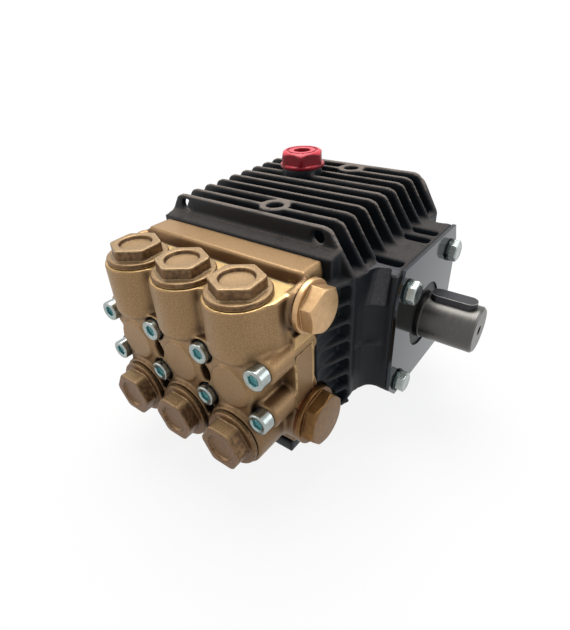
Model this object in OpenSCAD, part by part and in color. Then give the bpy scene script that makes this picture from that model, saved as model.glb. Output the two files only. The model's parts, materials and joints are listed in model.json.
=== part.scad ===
// Triplex high-pressure plunger pump: finned crankcase with a keyed drive shaft on its right side
// and a brass valve manifold in front. X runs along the crankshaft, Y to the back and Z up.
// The origin is on the base plane, under the middle of the crankshaft axis.

/* [Crankshaft] */
// Height of the crankshaft axis above the base
shaft_z = 59.2; // [56:0.1:62]
// Diameter of the drive shaft
shaft_d = 24; // [20:0.5:25]
// How far the shaft end stands from the middle of the pump
shaft_end_x = 103.2; // [98:0.1:120]
// Diameter of the journal that the seal runs on
journal_d = 25; // [23:0.5:27]
// How far the journal reaches from the middle of the pump
journal_x = 76.6; // [75.5:0.1:78]
// Where the shaft starts inside the case
shaft_in_x = 44; // [40:1:50]
// Chamfer at the end of the shaft
shaft_chamfer = 1; // [0.5:0.1:2]
// Diameter of the centre hole in the shaft's end
centre_d = 5; // [3:0.5:8]
// Depth of the centre hole
centre_h = 7; // [4:1:12]
// Width of the key
key_w = 8; // [6:0.5:8]
// Height of the key
key_h = 7; // [6:0.5:8]
// Length of the key
key_len = 23; // [16:1:23]
// How far the key stands out of the shaft
key_rise = 3; // [2:0.1:4]
// Gap between the key and the shaft end
key_inset = 3; // [2:0.5:6]

/* [Crankcase] */
// Half width across the shoulders of the fins
shoulder_x = 59.6; // [56:0.1:64]
// Half width of the flat tops of the fins
fin_top_x = 46.5; // [40:0.1:50]
// Height of the fin tops
fin_top_z = 118.4; // [112:0.1:124]
// Height of the shoulder, where the fins stand on the case
shoulder_z = 98.2; // [96:0.1:104]
// Height of the lower shoulder
low_shoulder_z = 31; // [24:0.5:34]
// Half width of the case at its bottom
bottom_x = 43; // [42:0.5:50]
// Number of fins
fin_count = 10; // [6:1:12]
// Distance from fin to fin
fin_pitch = 10.19; // [9.5:0.01:10.4]
// Thickness of a fin
fin_t = 2.2; // [1.6:0.1:3.4]
// Thickness of the front wall
front_wall_t = 3.2; // [2.4:0.1:4]
// Distance from the crankshaft axis to the outside of the front wall
front_y = 50.6; // [48:0.1:54]
// Half width of the case between the side fins
side_x = 54; // [52:0.5:55]
// Height of the valleys between the fins
valley_z = 92; // [90:0.5:95]
// Width of the shelf at the foot of the fins
shelf_w = 4; // [3:0.5:5]
// Width of a pocket in the top of a bearing housing
pocket_w = 6.2; // [4:0.1:7]
// Outer end of the pockets
pocket_x = 70.5; // [66:0.5:71]
// How far a pocket lies in front of the middle of its gap
pocket_shift = 2; // [1:0.1:2.5]
// Width of the slot between two pads on a bearing housing
slot_w = 1.6; // [1:0.1:3]
// Depth of that slot
slot_h = 3; // [1:0.5:5]
// How far the gusset reaches out beside the bearing housing
gusset_x = 63; // [61:0.5:66]
// Height of the feet
foot_h = 7; // [5:0.5:9]
// How far the case's underside is set back between the feet
relief_h = 2; // [1:0.5:3]
// Width of a foot
foot_w = 12; // [10:0.5:16]
// Distance of a foot's outer edge from the middle
foot_x = 40.4; // [36:0.1:42]
// How far the feet reach in front of the crankshaft axis
foot_front = 75; // [68:0.5:80]

// How far the floor between the feet starts behind their front ends
floor_inset = 3; // [1:1:12]
// Half the distance between the base holes along the feet
base_hole_y = 35; // [30:1:38]
// Diameter of the base holes
base_hole_d = 6.8; // [5.5:0.1:7]

/* [Top of the case] */
// Place of the oil cap along the crankshaft
oil_x = -14; // [-20:1:20]
// Place of the oil cap behind the crankshaft axis
oil_y = 17; // [0:1:25]
// Diameter of the oil cap's thread
oil_d = 18; // [14:1:19]
// Diameter of the oil cap's flange
oil_cap_d = 24; // [22:0.5:26]
// Thickness of the oil cap's flange
oil_flange_t = 2.5; // [2:0.1:4]
// Width across flats of the oil cap
oil_af = 19; // [17:0.5:20]
// Height of the oil cap's hexagon
oil_hex_h = 8.6; // [6:0.1:10]
// Length of the oil cap's thread
oil_thread_h = 12; // [8:1:14]
// Diameter of the recess in the oil cap
oil_recess_d = 10; // [8:0.5:12]
// Depth of the recess in the oil cap
oil_recess_h = 3; // [2:0.5:5]
// Diameter of the neck that the oil cap sits on
oil_neck_d = 22; // [20:0.5:23]
// How far that neck stands above the fins
oil_neck_rise = 1.4; // [0.5:0.1:3]
// Place of the two lifting bosses along the crankshaft
boss_x = 8; // [4:0.5:12]
// Outer diameter of a lifting boss
boss_d = 15.4; // [13:0.1:17]
// Diameter of the lifting boss's thread
boss_hole_d = 8.5; // [6:0.5:10]
// Depth of the lifting boss's thread
boss_hole_h = 15; // [10:1:16]
// Half the distance between the holes in the front wall
wall_hole_x = 40.8; // [38:0.1:42]
// Height of the holes in the front wall
wall_hole_z = 113.4; // [112:0.1:114]
// Diameter of the holes in the front wall
wall_hole_d = 6.4; // [4:0.1:7]

/* [Neck] */
// How far the manifold face stands in front of the crankshaft axis
face_y = 57.2; // [56:0.1:59]
// How far the cheeks beside the manifold reach in front of the crankshaft axis
cheek_front = 68.5; // [66:0.5:70]
// How far the cheeks' outer faces stand outside the manifold's sides
cheek_out = 0.5; // [0:0.1:1]
// How far the cheeks' inner faces stand inside the manifold's sides
cheek_lap = 1.7; // [1.4:0.1:2]
// Top of the neck
neck_top_z = 97.6; // [96:0.1:98]
// Bottom of the neck
neck_low_z = 24; // [20:0.5:26]
// Number of side ribs
rib_count = 8; // [4:1:8]
// Distance from rib to rib
rib_pitch = 9.93; // [9:0.01:10]
// Thickness of a side rib
rib_t = 2; // [1.5:0.1:2.6]
// Height of the lip's front edge
lip_z = 108.2; // [107.4:0.1:109]
// How far the lip rises to the front wall
lip_rise = 1.4; // [0.5:0.1:2]

/* [Rear cover] */
// Thickness of the rear cover
rear_t = 5; // [4:0.5:7]
// Half the distance between the two columns of rear cover screws
rear_screw_x = 46; // [42:0.5:48]
// Height of the lower rear cover screws
rear_low_z = 30; // [28:1:34]
// Height of the upper rear cover screws
rear_high_z = 84; // [78:1:90]
// Height of the oil level glass
level_z = 62; // [50:1:68]
// Height of the oil drain plug
drain_z = 22; // [20:1:26]
// Diameter of the oil level glass's thread
level_d = 16; // [12:1:18]
// Thickness of the oil level glass's rim
level_rim = 2; // [1:0.5:3]
// How far the oil level glass stands out
level_h = 3; // [2:0.5:4]
// Diameter of the oil drain plug's thread
drain_d = 10; // [8:1:12]
// Width across flats of the oil drain plug
drain_af = 14; // [12:0.5:15]
// Height of the oil drain plug's hexagon
drain_hex_h = 5; // [4:0.5:7]
// How deep the rear threads reach into the case
rear_thread_h = 8; // [6:0.5:10]

/* [Bearing covers] */
// Outer plane of the bearing covers
cover_x = 74.6; // [73:0.1:78]
// Thickness of a bearing cover
cover_t = 1.5; // [1:0.1:3]
// Thickness of the gaskets
gasket_t = 0.4; // [0.3:0.1:1]
// Height of a bearing cover
cover_h = 74.4; // [72:0.2:76]
// Width of a bearing cover
cover_w = 73; // [71:0.5:75]
// Height of the cover's centre above the shaft axis
cover_lift = 1.8; // [0:0.1:2]
// Corner chamfer at the bottom of a bearing cover
cover_chamfer = 8; // [5:0.5:10]
// Height of the tapered corners at the top of a bearing cover
cover_taper = 18; // [12:0.5:24]
// Depth of the rim round a bearing housing
rim_d = 4.5; // [3:0.5:6]
// How far the housing behind the rim is set back
rim_step = 0.8; // [0.4:0.1:1.5]
// Half the distance between two cover screws
cover_bolt = 26.5; // [25:0.1:28]
// Outer diameter of the oil seal
seal_d = 35; // [32:0.5:40]
// Width of the oil seal
seal_w = 6; // [4:0.5:8]
// How far the oil seal lies inside the cover's face
seal_in = 1; // [0.2:0.1:1.4]
// How deep the cover screws reach into the case
cover_thread_h = 10; // [7:0.5:12]

/* [Manifold] */
// Distance from cylinder to cylinder
pitch = 31; // [30.5:0.1:32]
// How far the manifold's sides stand outside the outer screws
man_edge = 5; // [4.6:0.1:6]
// How far the body beside the screw columns is set back from the sides
core_in = 7.5; // [6:0.5:9]
// Diameter of a screw column
column_d = 12.6; // [12:0.1:14]
// Height of the manifold's underside
man_low_z = 28; // [26:0.5:32]
// How far the side blocks stand in front of the crankshaft axis
side_front = 84; // [80:0.5:88]
// Lower edge of the side blocks
side_low_z = 44; // [42:0.5:46]
// Height of the side blocks
side_h = 40.5; // [38:0.5:42]
// How far the raised panel stands out of a side block
panel_rise = 0.5; // [0.3:0.1:1]
// Width of the raised panel
panel_w = 12.5; // [8:0.5:14]
// Height of the raised panel
panel_h = 27; // [20:0.5:30]
// Height of the raised panel's lower edge
panel_z = 48; // [46:0.5:52]
// How far the screw seats stand in front of the crankshaft axis
seat_y = 99.7; // [98:0.1:102]
// Height of the upper screw row
bolt_hi = 74.7; // [74:0.1:76]
// Height of the lower screw row
bolt_lo = 50.6; // [50:0.1:52]
// How far the discharge caps stand in front of the crankshaft axis
turret_y = 92; // [90:0.1:93]
// Radius of a discharge turret
turret_r = 15.4; // [14.6:0.1:15.6]
// Top of the discharge turrets
turret_top = 103; // [101:0.1:104]
// Bottom of the discharge turrets' front
turret_low = 77; // [76:0.5:79]
// Height of the suction cap axes
suction_z = 34.3; // [33:0.1:36]
// Radius of a suction boss
suction_r = 15.4; // [14.6:0.1:15.6]
// How far the suction bosses stand in front of the crankshaft axis
suction_face = 105; // [103:0.5:106]
// How far the neck between two turrets stands in front of their axes
scallop = 5.5; // [4:0.5:8]
// Rounding under a turret
turret_round = 3; // [2:0.5:4]
// Radius of the front discs
disc_r = 9.9; // [8:0.1:11]
// Width of the fillet round a disc
disc_fillet = 2.6; // [1:0.1:3]
// How far the discs stand in front of the crankshaft axis
disc_y = 105; // [103:0.5:106]
// Width of a window between the discs
window_w = 5; // [3:0.5:6]
// Height of a window
window_h = 11; // [8:0.5:12]
// Depth of a window
window_d = 12; // [6:1:20]
// Top of the rear rail
rail_top = 107.2; // [105:0.1:108]
// Depth of the rear rail
rail_d = 14.3; // [12:0.1:15]
// How far the rear rail's ends are set back from the manifold's sides
rail_in = 3; // [2:0.1:6]
// Width of the groove in front of the rear rail
groove_w = 1.2; // [0.8:0.1:2]
// Depth of that groove
groove_h = 1; // [0.5:0.1:2]

/* [Valve caps] */
// Width across flats of the valve caps
cap_af = 21; // [19:0.5:22]
// Height of a discharge cap's hexagon
cap_hex_h = 5.1; // [4.5:0.1:8]
// Height of a suction cap's hexagon
suction_hex_h = 6.8; // [5:0.1:8]
// Turn of the discharge caps' hexagons
cap_turn = 35; // [0:1:60]
// Turn of the suction caps' hexagons
suction_turn = -7; // [-30:1:30]
// Diameter of a cap's flange
cap_flange_d = 28.3; // [26:0.1:29]
// Thickness of a cap's flange
cap_flange_t = 2.6; // [2:0.1:4]
// Diameter of the recess in a cap
cap_recess_d = 14.7; // [12:0.1:16]
// Depth of the recess in a discharge cap
cap_recess_h = 3; // [2:0.5:4]
// Depth of the ring groove in a suction cap
cap_ring_h = 0.4; // [0.2:0.1:1]
// Width of the ring groove in a suction cap
cap_ring_w = 0.8; // [0.5:0.1:2]
// Diameter of a cap's threaded part
cap_thread_d = 22; // [20:0.5:24]
// Length of a cap's threaded part
cap_thread_h = 9; // [6:0.5:12]

/* [Side plugs] */
// Distance of the discharge gallery in front of the crankshaft axis
gallery_hi_y = 75; // [74:0.1:78]
// Height of the discharge gallery
gallery_hi_z = 96; // [94:0.1:97]
// Diameter of the boss round the discharge gallery
gallery_hi_d = 20; // [18:0.5:22]
// Diameter of the discharge gallery's thread
port_hi_d = 15; // [12:0.5:16]
// Depth of the discharge gallery's thread
port_hi_h = 12; // [9:1:14]
// Width across flats of the discharge plug
plug_hi_af = 17; // [16:0.5:19]
// Distance of the suction gallery in front of the crankshaft axis
gallery_lo_y = 73; // [72:0.1:75]
// Diameter of the boss round the suction gallery
gallery_lo_d = 28; // [26:0.5:30]
// Diameter of the suction gallery's thread
port_lo_d = 18.6; // [16:0.1:20]
// Depth of the suction gallery's thread
port_lo_h = 14; // [10:1:16]
// Width across flats of the suction plug
plug_lo_af = 24; // [22:0.5:26]
// Height of a plug's hexagon
plug_hex_h = 6; // [5:0.5:8]
// Thickness of a plug's flange
plug_flange_t = 2.5; // [2:0.5:3]
// How far a plug's flange stands round its hexagon
plug_rim = 0.75; // [0.5:0.05:1]
// Thickness of a sealing washer
washer_t = 1; // [0.8:0.1:1.5]

/* [Screws] */
// Thread diameter of the screws
screw_d = 6; // [5:0.5:6]
// Head diameter of a socket screw
socket_d = 10; // [8.5:0.5:10]
// Head height of a socket screw
socket_h = 6; // [5:0.5:6]
// Width across flats of a hexagon head
hex_af = 10; // [8:0.5:10]
// Width across flats of a hexagon socket
socket_af = 5; // [4:0.5:6]
// Depth of a hexagon socket
socket_hole_h = 3; // [2:0.5:4]
// Height of a hexagon head
hex_h = 4; // [3.5:0.1:5]
// Diameter of the washer under a hexagon head
screw_washer_d = 12; // [11:0.5:13]
// Thickness of that washer
screw_washer_t = 1; // [0.6:0.1:1.6]
// How deep the manifold screws reach into the case
man_thread_h = 12; // [8:0.5:14]

/* [Clearances] */
// Radial clearance of a running shaft
run_gap = 0.05; // [0.02:0.01:0.08]
// Radial clearance of a screw or thread in its hole
seat_gap = 0.1; // [0.05:0.05:0.2]
// Room round a head or a flange that is sunk or cut free
head_room = 0.5; // [0.3:0.1:0.8]
// Gap between the manifold and the cheeks
cheek_gap = 0.3; // [0.2:0.1:0.5]
// Gap between a screw's end and the bottom of its hole
end_gap = 1; // [0.5:0.5:2]
// Chamfer of the screw heads
head_chamfer = 0.6; // [0.3:0.1:1]

/* [Hidden] */
$fn = 64;
rear_y = -front_y + (fin_count - 1) * fin_pitch + front_wall_t;
housing_x = cover_x - cover_t - gasket_t;
cover_z = shaft_z + cover_lift;
man_x = 1.5 * pitch + man_edge;
core_x = man_x - core_in;
cheek_in = man_x - cheek_lap;
cheek_x = man_x + cheek_out;
rail_x = man_x - rail_in;
shelf_x = shoulder_x - shelf_w;
rail_y = face_y + rail_d;
column_end = cheek_front + cheek_gap;
cap_top_z = fin_top_z + oil_neck_rise;
seal_x = cover_x - seal_in - seal_w;
window_z = (bolt_hi + bolt_lo) / 2;
screw_hole_d = screw_d + 2 * seat_gap;
chamfer_slope = tan(30);
boss_ys = [-37.8, 35.2];

// Corner points of a polygon, each rounded by its own radius
function unit(v) = v / norm(v);
function corner(p, a, b, r, n) =
    let (u = unit(a - p), w = unit(b - p))
    let (half = acos(u * w) / 2)
    let (c = p + unit(u + w) * r / sin(half))
    let (s = p + u * r / tan(half) - c)
    let (e = p + w * r / tan(half) - c)
    let (t0 = atan2(s[1], s[0]))
    let (d = atan2(e[1], e[0]) - t0)
    let (turn = d > 180 ? d - 360 : d < -180 ? d + 360 : d)
    [for (i = [0 : n]) c + r * [cos(t0 + turn * i / n), sin(t0 + turn * i / n)]];
function rounded(pts, radii, n = 5) =
    [for (i = [0 : len(pts) - 1])
        let (last = pts[(i + len(pts) - 1) % len(pts)])
        let (next = pts[(i + 1) % len(pts)])
        for (q = radii[i] > 0 ? corner(pts[i], last, next, radii[i], n) : [pts[i]]) q];
function hex_d(af) = af / cos(30);

// A flat outline in X and Z, extruded along Y
module along_y(y0, y1) {
    translate([0, y1, 0])
        rotate([90, 0, 0])
            linear_extrude(y1 - y0)
                children();
}

// A flat outline in Y and Z, extruded along X
module along_x(x0, x1) {
    translate([x0, 0, 0])
        rotate([90, 0, 90])
            linear_extrude(x1 - x0)
                children();
}

// A cylinder along X or Y between two places
module rod_x(x0, x1, y, z, d) {
    translate([x0, y, z])
        rotate([0, 90, 0])
            cylinder(d = d, h = x1 - x0);
}
module rod_y(y0, y1, x, z, d) {
    translate([x, y0, z])
        rotate([-90, 0, 0])
            cylinder(d = d, h = y1 - y0);
}

// The same thing on the right and on the left
module both_sides() {
    children();
    mirror([1, 0, 0]) children();
}

// A hexagon with the cone-shaped chamfer that a turned head has
module hex_head(af, h, chamfer) {
    top_r = af / 2 - chamfer / 2;
    out_r = hex_d(af) / 2 + 1;
    intersection() {
        cylinder(d = hex_d(af), h = h, $fn = 6);
        rotate_extrude()
            polygon([[0, -1], [out_r, -1], [out_r, h - (out_r - top_r) * chamfer_slope], [top_r, h], [0, h]]);
    }
}

// Cross-section of the case: a trough between the shelves at the foot of the fins
module case_outline() {
    half = [
        [bottom_x, relief_h], [side_x, low_shoulder_z], [side_x, valley_z - 4],
        [shoulder_x - 0.2, valley_z + 1], [shoulder_x - 0.2, shoulder_z],
        [shelf_x, shoulder_z], [shelf_x - 1, valley_z]
    ];
    polygon(concat(half, [for (i = [len(half) - 1 : -1 : 0]) [-half[i][0], half[i][1]]]));
}

// The front and rear flanges reach down to the feet; the fins between them end at the shoulder
module flange_outline() {
    polygon(rounded([
        [-bottom_x, relief_h], [bottom_x, relief_h],
        [shoulder_x, low_shoulder_z], [shoulder_x, shoulder_z],
        [fin_top_x, fin_top_z], [-fin_top_x, fin_top_z],
        [-shoulder_x, shoulder_z], [-shoulder_x, low_shoulder_z]
    ], [0, 0, 4, 0, 5, 5, 0, 4]));
}
module fin_outline() {
    polygon(rounded([
        [-side_x, valley_z - 1], [side_x, valley_z - 1], [shoulder_x, shoulder_z],
        [fin_top_x, fin_top_z], [-fin_top_x, fin_top_z], [-shoulder_x, shoulder_z]
    ], [0, 0, 0, 5, 5, 0]));
}
function fin_y(i) = -front_y + i * fin_pitch;
module fins() {
    along_y(-front_y, -front_y + front_wall_t) flange_outline();
    along_y(rear_y - front_wall_t, rear_y) flange_outline();
    for (i = [1 : fin_count - 2])
        along_y(fin_y(i), fin_y(i) + fin_t) fin_outline();
}

// Outline shared by the bearing housings, covers and gaskets
module cover_outline(inset = 0) {
    w = cover_w / 2 - inset;
    low = -cover_h / 2 + inset;
    c = cover_chamfer;
    t = cover_taper;
    half = [
        [w - c, low], [w, low + c], [w, cover_h / 2 - t],
        [w - 0.08 * t, cover_h / 2 - t / 2], [w - 0.3 * t, cover_h / 2]
    ];
    polygon(concat(half, [for (i = [len(half) - 1 : -1 : 0]) [-half[i][0], half[i][1]]]));
}
module cover_prism(x0, x1, inset = 0) {
    translate([0, 0, cover_z])
        along_x(x0, x1) cover_outline(inset);
}
module bearing_housings() {
    cover_prism(-housing_x + rim_d, housing_x - rim_d, rim_step);
    both_sides() {
        cover_prism(housing_x - rim_d, housing_x);
        translate([0, 0, low_shoulder_z])
            linear_extrude(shoulder_z - low_shoulder_z)
                polygon([
                    [side_x - 1, -front_y + 1], [shoulder_x - 0.3, -front_y + 1],
                    [shoulder_x - 0.3, -front_y + front_wall_t],
                    [gusset_x, -cover_w / 2 + 2], [side_x - 1, -cover_w / 2 + 2]
                ]);
    }
}

// Pockets and a slot in the top of each bearing housing, in line with the gaps between the fins
module housing_pockets() {
    both_sides() {
        for (i = [2, 5, 6])
            translate([shelf_x - 2, fin_y(i) + (fin_pitch + fin_t - pocket_w) / 2 - pocket_shift, valley_z])
                cube([pocket_x - shelf_x + 2, pocket_w, shoulder_z - valley_z + 1]);
        translate([shelf_x + 4, fin_y(4) - slot_w, shoulder_z - slot_h])
            cube([pocket_x - shelf_x - 4, slot_w, slot_h + 1]);
    }
}

// The manifold's seat in front of the case: a block with a wedge-shaped lip, ribbed cheeks beside it
module neck() {
    along_x(-cheek_x, cheek_x)
        polygon([
            [-face_y, neck_low_z], [-front_y + 1, neck_low_z], [-front_y + 1, lip_z + lip_rise],
            [-front_y, lip_z + lip_rise], [-face_y, lip_z]
        ]);
    both_sides() {
        translate([cheek_in, -cheek_front, neck_low_z])
            cube([cheek_x - cheek_in, cheek_front - face_y + 1, neck_top_z - neck_low_z]);
        for (i = [0 : rib_count - 1])
            translate([0, 0, neck_top_z - rib_t - i * rib_pitch])
                linear_extrude(rib_t)
                    polygon([
                        [cheek_in, -cheek_front], [cheek_x, -cheek_front],
                        [shoulder_x - 0.4, -front_y + 1], [cheek_in, -front_y + 1]
                    ]);
    }
}

// Room for the side plugs and their flanges, cut out of the cheeks and ribs
module plug_room() {
    both_sides() {
        rod_x(cheek_in - 1, shoulder_x + 4, -gallery_hi_y, gallery_hi_z, flange_d(plug_hi_af) + 2);
        rod_x(cheek_in - 1, shoulder_x + 4, -gallery_lo_y, suction_z, flange_d(plug_lo_af) + 2);
    }
}
function flange_d(af) = hex_d(af) + 2 * plug_rim;

module feet() {
    both_sides()
        translate([foot_x - foot_w, -foot_front, 0])
            cube([foot_w, foot_front + rear_y, foot_h]);
    translate([-foot_x + 1, -foot_front + floor_inset, relief_h])
        cube([2 * foot_x - 2, foot_front - floor_inset - front_y + 1, foot_h - relief_h]);
}

module crankcase() {
    color([0.10, 0.10, 0.11])
    difference() {
        union() {
            along_y(-front_y, rear_y) case_outline();
            fins();
            bearing_housings();
            difference() {
                neck();
                plug_room();
            }
            feet();
            for (y = boss_ys)
                translate([boss_x, y, valley_z - 1])
                    cylinder(d = boss_d, h = fin_top_z - valley_z + 1);
            translate([oil_x, oil_y, valley_z - 1])
                cylinder(d = oil_neck_d, h = cap_top_z - valley_z + 1);
        }
        housing_pockets();
        rod_x(shaft_in_x - end_gap, housing_x + 1, 0, shaft_z, journal_d + 2 * run_gap);
        rod_x(seal_x, housing_x + 1, 0, shaft_z, seal_d + 2 * seat_gap);
        for (y = boss_ys)
            translate([boss_x, y, fin_top_z - boss_hole_h])
                cylinder(d = boss_hole_d, h = boss_hole_h + 1);
        translate([oil_x, oil_y, cap_top_z - oil_thread_h - end_gap])
            cylinder(d = oil_d + 2 * seat_gap, h = oil_thread_h + end_gap + 1);
        both_sides()
            rod_y(-front_y - 1, -front_y + front_wall_t + 1, wall_hole_x, wall_hole_z, wall_hole_d);
        for (x = [-1.5, -0.5, 0.5, 1.5], z = [bolt_lo, bolt_hi])
            rod_y(-face_y - 1, -face_y + man_thread_h, x * pitch, z, screw_hole_d);
        both_sides()
            cover_holes(housing_x - cover_thread_h - end_gap, housing_x + 1);
        rear_holes(rear_y - rear_thread_h - end_gap, rear_y + 1);
        both_sides()
            for (y = [-base_hole_y, base_hole_y])
                translate([foot_x - foot_w / 2, y, -1])
                    cylinder(d = base_hole_d, h = foot_h + 8);
    }
}

// Holes through the rear cover and into the case
module rear_holes(y0, y1) {
    for (x = [-rear_screw_x, rear_screw_x], z = [rear_low_z, rear_high_z])
        rod_y(y0, y1, x, z, screw_hole_d);
    rod_y(y0, y1, 0, level_z, level_d + 2 * seat_gap);
    rod_y(y0, y1, 0, drain_z, drain_d + 2 * seat_gap);
}

module rear_cover() {
    color([0.10, 0.10, 0.11])
    difference() {
        along_y(rear_y, rear_y + rear_t)
            polygon(rounded([
                [-side_x, low_shoulder_z - 8], [-bottom_x + 6, foot_h + 2],
                [bottom_x - 6, foot_h + 2], [side_x, low_shoulder_z - 8],
                [shoulder_x - 2, shoulder_z - 2], [fin_top_x, fin_top_z - 3],
                [-fin_top_x, fin_top_z - 3], [-shoulder_x + 2, shoulder_z - 2]
            ], [6, 6, 6, 6, 6, 8, 8, 6]));
        rear_holes(rear_y - 1, rear_y + rear_t + 1);
    }
}

module rear_cover_screws() {
    for (x = [-rear_screw_x, rear_screw_x], z = [rear_low_z, rear_high_z])
        translate([x, rear_y + rear_t, z])
            rotate([90, 0, 180])
                hex_screw(rear_t + rear_thread_h);
}

module oil_level_glass() {
    color([0.75, 0.6, 0.2]) {
        rod_y(rear_y - rear_thread_h, rear_y + rear_t, 0, level_z, level_d);
        rod_y(rear_y + rear_t, rear_y + rear_t + level_h, 0, level_z, level_d + 2 * level_rim);
    }
}

module oil_drain_plug() {
    color([0.7, 0.71, 0.72]) {
        rod_y(rear_y - rear_thread_h, rear_y + rear_t, 0, drain_z, drain_d);
        translate([0, rear_y + rear_t, drain_z])
            rotate([-90, 0, 0])
                hex_head(drain_af, drain_hex_h, head_chamfer);
    }
}

// A hexagon screw with its washer, standing on Z = 0 with its shank below
module hex_screw(len) {
    color([0.75, 0.76, 0.78]) {
        cylinder(d = screw_washer_d, h = screw_washer_t);
        translate([0, 0, screw_washer_t])
            hex_head(hex_af, hex_h, head_chamfer);
        translate([0, 0, -len])
            cylinder(d = screw_d, h = len);
    }
}

// A socket screw that stands on Z = 0 with its shank below
module socket_screw(len) {
    r = socket_d / 2;
    color([0.8, 0.81, 0.83])
    difference() {
        rotate_extrude()
            polygon([
                [0, -len], [screw_d / 2, -len], [screw_d / 2, 0], [r, 0],
                [r, socket_h - head_chamfer], [r - head_chamfer, socket_h], [0, socket_h]
            ]);
        translate([0, 0, socket_h - socket_hole_h])
            cylinder(d = hex_d(socket_af), h = socket_hole_h + 1, $fn = 6);
    }
}

module cover_holes(x0, x1) {
    for (y = [-cover_bolt, cover_bolt], z = [-cover_bolt, cover_bolt])
        rod_x(x0, x1, y, shaft_z + z, screw_hole_d);
}

module bearing_cover_right() {
    color([0.16, 0.16, 0.17])
    difference() {
        cover_prism(cover_x - cover_t, cover_x);
        rod_x(cover_x - cover_t - 1, cover_x + 1, 0, shaft_z, seal_d + 2 * seat_gap);
        cover_holes(cover_x - cover_t - 1, cover_x + 1);
    }
}

module bearing_cover_left() {
    color([0.16, 0.16, 0.17])
    mirror([1, 0, 0])
        difference() {
            cover_prism(cover_x - cover_t, cover_x);
            cover_holes(cover_x - cover_t - 1, cover_x + 1);
        }
}

module gasket() {
    color([0.05, 0.05, 0.05])
    difference() {
        cover_prism(housing_x, housing_x + gasket_t);
        rod_x(housing_x - 1, housing_x + gasket_t + 1, 0, shaft_z, seal_d + 2 * seat_gap);
        cover_holes(housing_x - 1, housing_x + gasket_t + 1);
    }
}
module gasket_right() gasket();
module gasket_left() mirror([1, 0, 0]) gasket();

// Screws 1 to 4 of a cover: front and back at the top, front and back at the bottom
module cover_screw(side, k) {
    y = (k % 2 == 0 ? -1 : 1) * cover_bolt;
    z = shaft_z + (k < 2 ? 1 : -1) * cover_bolt;
    translate([side * cover_x, y, z])
        rotate([0, side * 90, 0])
            hex_screw(cover_t + gasket_t + cover_thread_h);
}

module oil_seal() {
    color([0.07, 0.07, 0.07])
    difference() {
        rod_x(seal_x, seal_x + seal_w, 0, shaft_z, seal_d);
        rod_x(seal_x - 1, seal_x + seal_w + 1, 0, shaft_z, journal_d + 2 * run_gap);
    }
}

module crankshaft() {
    r = shaft_d / 2;
    color([0.62, 0.62, 0.62])
    difference() {
        translate([0, 0, shaft_z])
            rotate([0, 90, 0])
                rotate_extrude()
                    polygon([
                        [0, shaft_in_x], [journal_d / 2, shaft_in_x], [journal_d / 2, journal_x - 0.5],
                        [r, journal_x], [r, shaft_end_x - shaft_chamfer],
                        [r - shaft_chamfer, shaft_end_x], [0, shaft_end_x]
                    ]);
        key_block();
        rod_x(shaft_end_x - centre_h, shaft_end_x + 1, 0, shaft_z, centre_d);
    }
}

// The key with its round ends, and the slot that it sits in
module key_block() {
    x1 = shaft_end_x - key_inset;
    translate([x1 - key_len, 0, shaft_z + shaft_d / 2 + key_rise - key_h]) {
        translate([key_w / 2, -key_w / 2, 0])
            cube([key_len - key_w, key_w, key_h]);
        for (x = [key_w / 2, key_len - key_w / 2])
            translate([x, 0, 0])
                cylinder(d = key_w, h = key_h);
    }
}
module shaft_key() {
    color([0.35, 0.35, 0.35]) key_block();
}

// A turned body whose underside is rounded at its rim
module turret() {
    r = turret_r;
    b = turret_round;
    rotate_extrude()
        polygon(concat([[0, turret_top], [0, turret_low]],
            [for (a = [0 : 18 : 90]) [r - b + b * sin(a), turret_low + b - b * cos(a)]],
            [[r, turret_top]]));
}

// A disc on the front that runs into the body in a hollow fillet
module front_disc() {
    f = disc_fillet;
    rotate_extrude()
        polygon(concat([[0, face_y], [0, disc_y]],
            [for (a = [0 : 18 : 90]) [disc_r + f - f * cos(a), disc_y - f * sin(a)]],
            [[disc_r + f, face_y]]));
}

// A lens-shaped window between two discs
module window_shape() {
    r = (window_w * window_w + window_h * window_h) / (4 * window_w);
    shift = r - window_w / 2;
    intersection() {
        rod_y(-disc_y - 1, -seat_y + window_d, -shift, 0, 2 * r);
        rod_y(-disc_y - 1, -seat_y + window_d, shift, 0, 2 * r);
    }
}

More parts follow.
